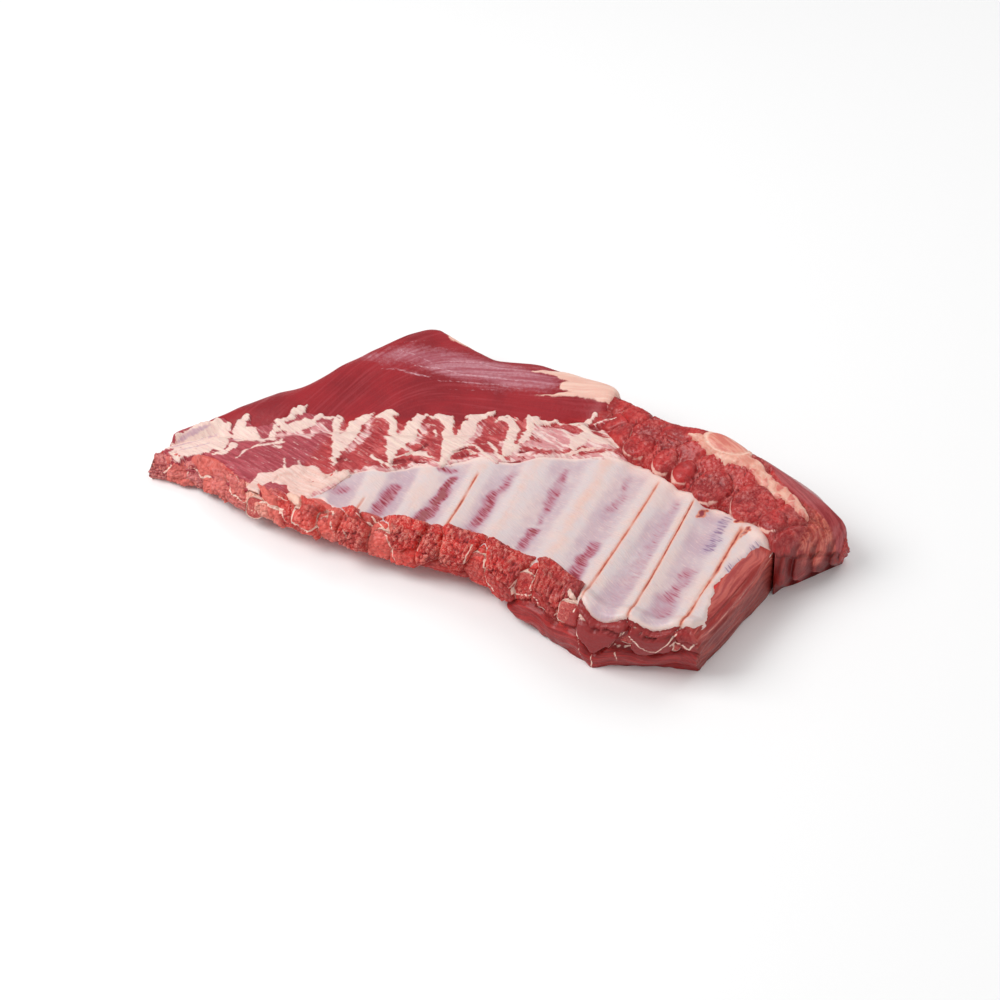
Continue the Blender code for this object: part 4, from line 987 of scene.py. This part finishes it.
# the coarse muscle at the neck end, which folds over the slab's end down to the table
brisketLook = {
    "start": 30, "length": 195.5, "columns": 250, "rows": 70, "levels": 26, "crease": 4.4, "round": 5,
    "pastSlab": 195.6,  # from here on there is no slab under it
    # x, y, half width, half height, how far it stands out, coarse, how pale
    "cells": (
        (74, 62, 9, 7, 3.5, 0.7, 0.0), (60, 76, 9, 8, 3.5, 0.5, 0.1), (66, 88, 8, 7, 3, 0.6, 0.0),
        (92, 50, 8, 6, 3.5, 0.8, 0.0), (109, 45, 8, 6, 3.5, 0.5, 0.05), (125, 38, 7, 5, 3.5, 0.9, 0.0),
        (152, 33, 8, 6, 3, 0.9, 0.0), (47, 68, 9, 7, 3.5, 0.3, 0.0), (36, 72, 7, 8, 3, 0.2, 0.0),
        (42, 84, 9, 8, 3, 0.4, 0.0), (55, 60, 9, 6, 3.5, 0.5, 0.1), (176, 30, 9, 6, 3.5, 0.8, 0.05),
        (84, 78, 9, 6, 3, 0.4, 0.0), (195, 22, 8, 8, 3, 0.6, 0.2), (208, 36, 10, 9, 3, 0.9, 0.3),
        (220, 40, 8, 8, 3, 0.9, 0.35), (206, 12, 7, 6, 4, 0.5, 0.15), (216, 24, 7, 7, 4, 0.8, 0.3),
        (100, 62, 12, 6, 3, 0.4, 0.0)),
    # the round lumps that hang over the silverskin: x, y, half width, half depth, coarse
    "nodules": (
        (75, 47, 11, 11, 0.7), (98, 38, 9, 10, 0.6), (114, 33, 8, 9, 0.15), (137, 26, 13, 13, 0.8),
        (168, 20, 15, 15, 0.8), (186, 11, 9, 10, 0.6)),
    # the near border of the smooth strip along the far side, and the pleats of the fold (x, depth)
    "outer": ((31, 130), (60, 100), (86, 78), (101, 69), (126, 71), (149, 65), (172, 45), (195, 33), (226, 30)),
    "folds": ((197.5, 2.2), (204, 5.5), (212.5, 4.2), (220, 5)),
    # two reds in patches, streaks and grooves along the fibres, grit
    "dark": (148, 12, 18), "bright": (186, 30, 30), "patchScale": 60,
    "streak": 0.3, "streakColour": (202, 88, 82), "groove": (132, 14, 20),
    # gaps between the grains in painted shade, painted highlights on the grains, pale threads of fat that also stand
    # for highlights
    "gritScale": 520, "creaseShadeColour": (108, 8, 14), "threadAndHighlightColour": (236, 160, 150),
    "highlightShare": 0.4, "highlightColour": (224, 116, 104),
    "roughness": (0.36, 0.54), "fibreBump": 0.5, "gritBump": 1.2, "coat": 0.3, "under": 0.1,
    # painted over them: mask, colour or two, from, to, tear
    "layers": (
        ("pale", (226, 122, 100), 0.1, 1.0, 0.5),
        ("tip", ((184, 62, 50), (214, 112, 92)), 0.35, 1.1, 1.0),
        ("outer", ((150, 34, 40), (176, 66, 68)), 0.3, 0.8, 0.3),
        # painted shade on the hanging fold's near wall
        ("flapShade", ((108, 5, 5), (140, 24, 18)), 0.2, 0.9, 0.5),
        # painted shade in the creases of the pleats
        ("crease", (112, 14, 14), 0.3, 1.2, 0.4),
        ("seam", (236, 186, 172), 0.4, 0.85, 0.7),
    ),
}
outerNear = corners(*brisketLook["outer"])


def brisketTop(x, y):
    cover, far = coverLine(x), farLine(x)
    t = np.clip((y - cover) / (far - cover), 0, 1)
    high = brisketHeight(x)
    edge = skinHeight(x) + 4.5
    edge = edge + (high - 4 - edge) * ease((x - 196) / 12)
    low = 5.0 * (1 - ease((x - 30) / 36))
    return edge + (high - edge) * ease(t / 0.75) - 9.0 * ease((t - 0.75) / 0.25) + grain(x, y, 9, 16) * 0.8 - low


def noduleAt(x, y):
    # millimetres inside the nearest round lump, how coarse it is, and the way from its middle
    cells = np.array(brisketLook["nodules"])
    dx, dy = (x[:, None] - cells[:, 0]) / cells[:, 2], (y[:, None] - cells[:, 1]) / cells[:, 3]
    inside = (1 - np.hypot(dx, dy)) * np.minimum(cells[:, 2], cells[:, 3])
    rows, which = np.arange(len(x)), np.argmax(inside, axis=1)
    return inside[rows, which], cells[which, 4], dx[rows, which], dy[rows, which]


def brisketNear(x):
    # the near border, scalloped by those lumps
    border = coverLine(x) + 1.8 * ease((192 - x) / 4) + 0.2
    for cx, cy, halfWidth, halfDepth, _ in brisketLook["nodules"]:
        reach = np.sqrt(np.clip(1 - ((x - cx) / halfWidth) ** 2, 0, 1))
        border = np.where(reach > 0, np.minimum(border, cy - halfDepth * reach), border)
    return np.maximum(border, coverLine(x) - 6.5)


def brisketPlace(u, v, w):
    x = brisketLook["start"] + brisketLook["length"] * u
    far, near = farLine(x), brisketNear(x)
    y = near + (far - near) * v
    cells = [c + (0,) for c in brisketLook["cells"]]
    cells, dome, gap, _ = lumps(*warped(x, y, 8, 1.6), cells, brisketLook["crease"])
    standsOut, coarse, pale = cells[:, 4:7].T
    outer = ease((y - outerNear(x) + grain(x, y, 17, 9) * 2) / 3)
    inside, grainy, awayX, awayY = noduleAt(*warped(x, y, 8, 0.8))
    onNodule = ease((inside + 0.2) / 0.6)
    coarse = coarse * (1 - onNodule) + grainy * onNodule
    bulge = (standsOut * (dome - 0.6) * ease(-inside / 2.5) + 4.2 * rounded(inside / 6) * onNodule) * (1 - outer)
    dome = dome * (1 - onNodule) + np.clip(inside / 3, 0, 1) * onNodule
    grained, own = granules(x, y, brisketTop(x, y) * w + bulge, 3.4)
    bulge = bulge + (grained - 0.65 + 0.3 * own) * 1.6 * coarse * (0.3 + 0.7 * dome) * (1 - outer)
    pastSlab = brisketLook["pastSlab"]
    past = x > pastSlab
    low = np.where(past, 0, shelfTop(x, y))
    r = brisketLook["round"]
    end = brisketLook["start"] + brisketLook["length"]
    hangs = ease((x - 190) / 8)
    corner = (r * (1 - rounded((far - y) / r)) + r * (1 - rounded((end - x) / r))
              + (3.6 + 8.4 * hangs) * (1 - rounded((y - near) / (4 + 8 * hangs))))
    # the fold past the slab's end is gathered in pleats, which run out on its upper face
    pleat = sum(depth * bell(x - px - (y - near) * 0.2, 1.8) for px, depth in brisketLook["folds"])
    top = brisketTop(x, y) + bulge - corner - 1.2 * (1 - outer) - 0.8 - 0.7 * pleat * (1 - ease((y - near) / 15))
    top = np.maximum(top, low + 1.5)
    z = low + (top - low) * w
    wall, side, belly = v == 0, (w > 0) & (w < 1), np.sin(np.pi * w)
    # the near wall: the lumps overhang the silverskin, and past the slab's end the fold hangs in pleats
    sag = 6.0 * np.sin(np.pi * np.clip(z / 36, 0, 1)) + grain(x, 0, z, 14) * 1.5 - pleat
    wallOut = np.where(past, sag * ease((x - 195) / 3), belly)
    # its lower edge curls under
    curl = 7 * ease((13 - z) / 13) * ease((x - pastSlab) / 4) * np.clip(1 - (y - near) / 15, 0, 1)
    farOut = (2.5 * belly + crumble(x, y, z, 12) * 1.2) * side - 2.0 * (1 - w)
    movedY = y - wall * wallOut * side + curl + np.where(v == 1, farOut, 0)
    rough = crumble(x, y, z, 7) * 1.4 + (np.clip(pebbles(y, z, 5)[0] / 1.2, 0, 1) - 0.5) * 1.4
    movedX = x + np.where(u == 1, (2.0 * belly + rough) * side - 1.5 * (1 - w), 0)
    nearSide = ease((-awayX * 0.55 - awayY * 0.85 + 0.05) / 0.5)
    topSide = (w == 1) | (wall & (w > 0.6))
    rim = bell(inside - 0.45, 0.5) * nearSide * (0.9 + 0.7 * grain(x, y, 66, 6)) * (w == 1)
    creased = np.clip(1 - gap / 1.2, 0, 1) * (0.25 + 0.7 * grain(x, y, 61, 9)) * (1 - onNodule)
    paints = {
        "fibre": ((x * 0.92 - y * 0.38) * 0.03,
                  (y * 0.92 + x * 0.38) * 0.45 * (w == 1) + x * 0.5 * (w < 1), z * 0.08),
        "coarse": np.where(topSide, coarse * (1 - outer), 0.8 * ease((x - 203) / 6)),
        "pale": pale * topSide * (1 - onNodule),
        "lobe": grained * 0.85 + own * 0.3,
        "seam": topSide * (1 - outer) * np.maximum(rim, creased),
        "outer": np.maximum(outer * (w == 1), v == 1),
        # painted shade over the near wall of the fold past the slab's end, less at its upper end near the tip
        "flapShade": (past * wall * (0.75 + 0.3 * grain(x, y, z, 8))
                 * (1 - 0.8 * ease((x - 206) / 8) * ease((z - 14) / 8))),
        # painted shade in the creases of the pleats, fading away from the near wall
        "crease": past * ease(pleat / 3 - 0.15) * (1 - ease((y - near) / 10)),
        "tip": ease((x - 200) / 10) * ease((z - 8) / 14) * (1 - outer * 0.6) * (0.75 + 0.8 * (grained - 0.5)),
    }
    return (movedX, movedY, z), paints


finish(cage("brisketMuscle", brisketLook, brisketPlace), meatMaterial("brisketMuscle", brisketLook),
       "brisket", "brisket")
print("brisket done")

# the marbled fat on it, with an oval of cartilage
gristleLook = {
    "start": 98, "length": 110, "columns": 150, "rows": 50, "proud": 1.6, "thick": 2.0,
    "band": (
        ((120, 54, 5), (135, 56, 9), (148, 51, 6.5)),
        ((133, 49, 5), (156, 47, 5.5), (172, 38, 5), (190, 31, 4.5), (203, 25, 2.6)), ((106, 57, 1.2), (116, 56, 3))),
    "middle": ((98, 64), (120, 56), (150, 49), (185, 33), (208, 21)),  # the line that it follows
    "oval": (134, 57, 15, 7.5, -0.12),  # x, y, half length, half width, turn
    # two reds in patches, streaks and grooves along the fibres
    "dark": (214, 138, 120), "bright": (230, 174, 154), "patchScale": 110,
    "streak": 0.4, "streakColour": (246, 216, 198), "groove": (214, 138, 120),
    "roughness": (0.36, 0.5), "fibreBump": 0.4, "coat": 0.15, "under": 0.15,
    # painted over them: mask, colour or two, from, to, tear
    "layers": (
        ("gristle", ((208, 114, 100), (224, 152, 134)), 0.3, 1.0, 0.9),
        ("marbling", ((208, 108, 98), (226, 150, 136)), 0.3, 1.1, 1.2),
        ("rim", (238, 200, 182), 0.45, 1.2, 1.2),
    ),
}
gristleLine = line(*gristleLook["middle"])


def gristlePlace(u, v, w):
    x = gristleLook["start"] + gristleLook["length"] * u
    middle, far = gristleLine(x), farLine(x)
    low, high = middle - 15 + 9 * ease((x - 185) / 15), np.minimum(middle + 15, far - 1.5)
    y = low + (high - low) * v
    band = -brushed(*warped(x, y, 6, 1.6, (3, 6)), gristleLook["band"]) + grain(x, y, 8, 3) * 0.7
    cx, cy, rx, ry, turn = gristleLook["oval"]
    dx, dy = x - cx, y - cy
    oval = (1 - np.hypot((dx * math.cos(turn) + dy * math.sin(turn)) / rx,
                         (dy * math.cos(turn) - dx * math.sin(turn)) / ry)) * ry
    inside = np.maximum(band, oval + 2.0)
    marble, own = pebbles(*warped(x, y, 4, 1.5, (2, 5)), 5.5)
    top = brisketTop(x, y) - 1.5 + gristleLook["proud"] * ease((inside + 0.4) / 2.0)
    top = top - 4.5 * ease((-inside + 0.4) / 2.5) + 0.8 * ease((oval + 0.6) / 3.0) - 0.5 * bell(oval + 0.4, 0.7)
    r = brisketLook["round"]
    top = top - r * (1 - rounded((far - y) / r)) - 5 * ease((y - far + 2.5) / 2)
    top = top + (0.5 * np.clip(marble / 1.2, 0, 1) + grain(x, y, 9, 3) * 0.35) * (oval < -0.8)
    z = top - (1 - w) * gristleLook["thick"] - 6 * ease((x - 201) / 5) * ease(1 - inside)
    paints = {
        "fibre": ((x * 0.9 - y * 0.4) * 0.06, (y * 0.9 + x * 0.4) * 0.4, z * 0.1),
        "gristle": ease((oval + 0.3) / 1.4),
        "rim": bell(oval + 0.5, 1.0),
        "marbling": (own > 0.15) * np.clip(marble / 0.7, 0, 1) * (oval < -1.5) * ease((x - 140) / 20),
    }
    return (x, y, z), paints


finish(cage("brisketFat", gristleLook, gristlePlace), meatMaterial("brisketFat", gristleLook), "fat", "brisket_fat")
print("brisket fat done")

# the ribs, whose sawn ends show along the near edge
boneLook = {
    # for each rib, neck end first: x of its sawn end, and how far it stands out
    "ends": (166, 139, 98, 61, 24, -11, -43, -82, -107, -136),
    "out": (0, 0, 3.4, 3.2, 3.2, 2.6, 3.2, 3.2, 2.8, 2.8),
    "width": 13.0, "height": 8.0, "endHeight": 17.0, "depth": 8.5, "segments": 36, "steps": 40,
    "square": 3.4,  # how square a sawn end is, 2 for an oval
    "rind": ((226, 184, 168), (240, 214, 198)), "shell": (238, 200, 184),
    "marrow": ((176, 52, 50), (204, 92, 84)), "marrowSpeck": (226, 136, 122),
    "roughness": (0.35, 0.55), "coat": 0.12, "under": 0.12,
}


def makeBone(rib):
    bm = bmesh.new()
    bmesh.ops.create_cone(bm, cap_ends=True, segments=boneLook["segments"], radius1=1, radius2=1, depth=1)
    divide(bm, boneLook["steps"] - 1)
    for end in [f for f in bm.faces if len(f.verts) > 4]:
        for ring in (0.1, 0.16, 0.22, 0.22):
            bmesh.ops.inset_region(bm, faces=[end], thickness=ring, use_even_offset=False)
        bmesh.ops.poke(bm, faces=[end])
    bmesh.ops.recalc_face_normals(bm, faces=bm.faces[:])
    column, sawnX, out = float(ribX[rib]), boneLook["ends"][rib], boneLook["out"][rib]
    foot = float(footOf(np.array([column]))[0])
    near, skinEdge = float(nearLine(column)), float(skinLine(foot))
    width, height, square = boneLook["width"], boneLook["height"], boneLook["square"]

    def place(px, py, pz):
        t = pz + 0.5
        radius, angle = np.hypot(px, py), np.arctan2(py, px)
        cos, sin = np.cos(angle), np.sin(angle)
        boxy = (np.abs(cos) ** square + np.abs(sin) ** square) ** (-1 / square)
        boxy = boxy * (1 + 0.1 * grain(cos * 1.6, sin * 1.6, rib * 5, 1))
        start = near - out
        y = start + (skinEdge - 6 - start) * t**1.4
        along = np.clip((y - near) / (skinEdge - near), 0, 1)
        atEnd = 1 - ease((y - start) / 22)
        x = column + (foot - column) * along + (sawnX - column) * atEnd
        high = height + (boneLook["endHeight"] - height) * atEnd
        middle = nearHeight(column) * (1 - along) + skinHeight(foot) * along - 3 * np.sin(np.pi * along)
        taper = (1 - 0.25 * t) * (1 + grain(px * 3, py * 3, t * 20 + rib * 9, 3) * 0.06)
        px, py = px * (1 + (boxy - 1) * atEnd), py * (1 + (boxy - 1) * atEnd)
        x = x + px * width / 2 * taper * (1 + 0.06 * atEnd) + py * 1.5 * atEnd
        z = middle - boneLook["depth"] - (high - height) * 0.25 + py * high / 2 * taper
        sawn = (pz < -0.499) * 1.0
        dent = 0.9 * ease((radius - 0.8) / 0.2) + grain(px * 3, py * 3, rib * 7, 1) * 0.35
        y = y + sawn * dent + py * 1.4 * atEnd
        return (x, y, z), {"sawn": sawn, "shell": sawn * ease((radius - 0.84) / 0.12)}
    return mould(bm, f"ribBone{rib + 1:02d}", place)


def boneMaterial(look):
    n = nodeSet("ribBone")
    colour = n.mix(n.noise(n.where, 60, 4, 0.6), *look["rind"])
    marrow = n.lay(*look["marrow"], n.noise(n.where, 420, 4, 0.7), 0.38, 0.66)
    marrow = n.lay(marrow, look["marrowSpeck"], n.noise(n.where, 800, 2), 0.55, 0.75)
    colour = n.mix(n.painted("sawn"), colour, marrow)
    colour = n.lay(colour, look["shell"], n.torn(n.painted("shell"), n.noise(n.where, 170, 3), 1.6), 0.5, 1.0)
    height = n.math("MULTIPLY", n.add("TexVoronoi", Vector=n.where, Scale=900).outputs["Distance"], 0.5)
    roughness = n.spread(n.noise(n.where, 200, 2), *look["roughness"])
    return n.wet(colour, roughness, height, look["coat"], look["under"], 0.4)


sawnBone = boneMaterial(boneLook)
for rib in range(len(ribX)):
    finish(makeBone(rib), sawnBone, "bone", f"rib_bone_{rib + 1:02d}")
print("bones done")

print("set up camera and light")
view = {"place": (0.54625, -1.07589, 1.0501), "aim": (-0.3426, 0.6725, -0.6561), "lens": 85, "sensor": 36}
camera = link("camera", bpy.data.cameras.new("camera"))
camera.data.lens = view["lens"]
camera.data.sensor_width = view["sensor"]
camera.data.clip_end = 20
turn = Vector(view["aim"]).normalized().to_track_quat("-Z", "Y").to_matrix().to_4x4()
camera.matrix_world = Matrix.Translation(view["place"]) @ turn
bpy.context.scene.camera = camera

floor = bpy.data.meshes.new("floor")
bm = bmesh.new()
bmesh.ops.create_grid(bm, x_segments=1, y_segments=1, size=4)
bm.to_mesh(floor)
bm.free()
floorPiece = link("floor", floor)
paper = bpy.data.materials.new("paper")
paper.use_nodes = True
paper.node_tree.nodes["Principled BSDF"].inputs["Base Color"].default_value = (0.93, 0.93, 0.93, 1)
paper.node_tree.nodes["Principled BSDF"].inputs["Roughness"].default_value = 0.8
floor.materials.append(paper)

lights = {  # place and size in metres, watts
    "key": ((-1.0, -0.55, 1.35), 1.1, 23),
    "fill": ((1.3, -0.9, 1.0), 1.4, 4.4),
    "back": ((0.4, 1.3, 1.4), 1.2, 8),
}
for name, (place, size, power) in lights.items():
    lamp = link(name, bpy.data.lights.new(name, "AREA"))
    lamp.data.size = size
    lamp.data.energy = power
    lamp.location = place
    lamp.rotation_euler = (-Vector(place)).to_track_quat("-Z", "Y").to_euler()
world = bpy.data.worlds.new("world")
bpy.context.scene.world = world
world.use_nodes = True
world.node_tree.nodes["Background"].inputs["Color"].default_value = (1, 1, 1, 1)
world.node_tree.nodes["Background"].inputs["Strength"].default_value = 0.46
bpy.context.scene.view_settings.view_transform = "Standard"
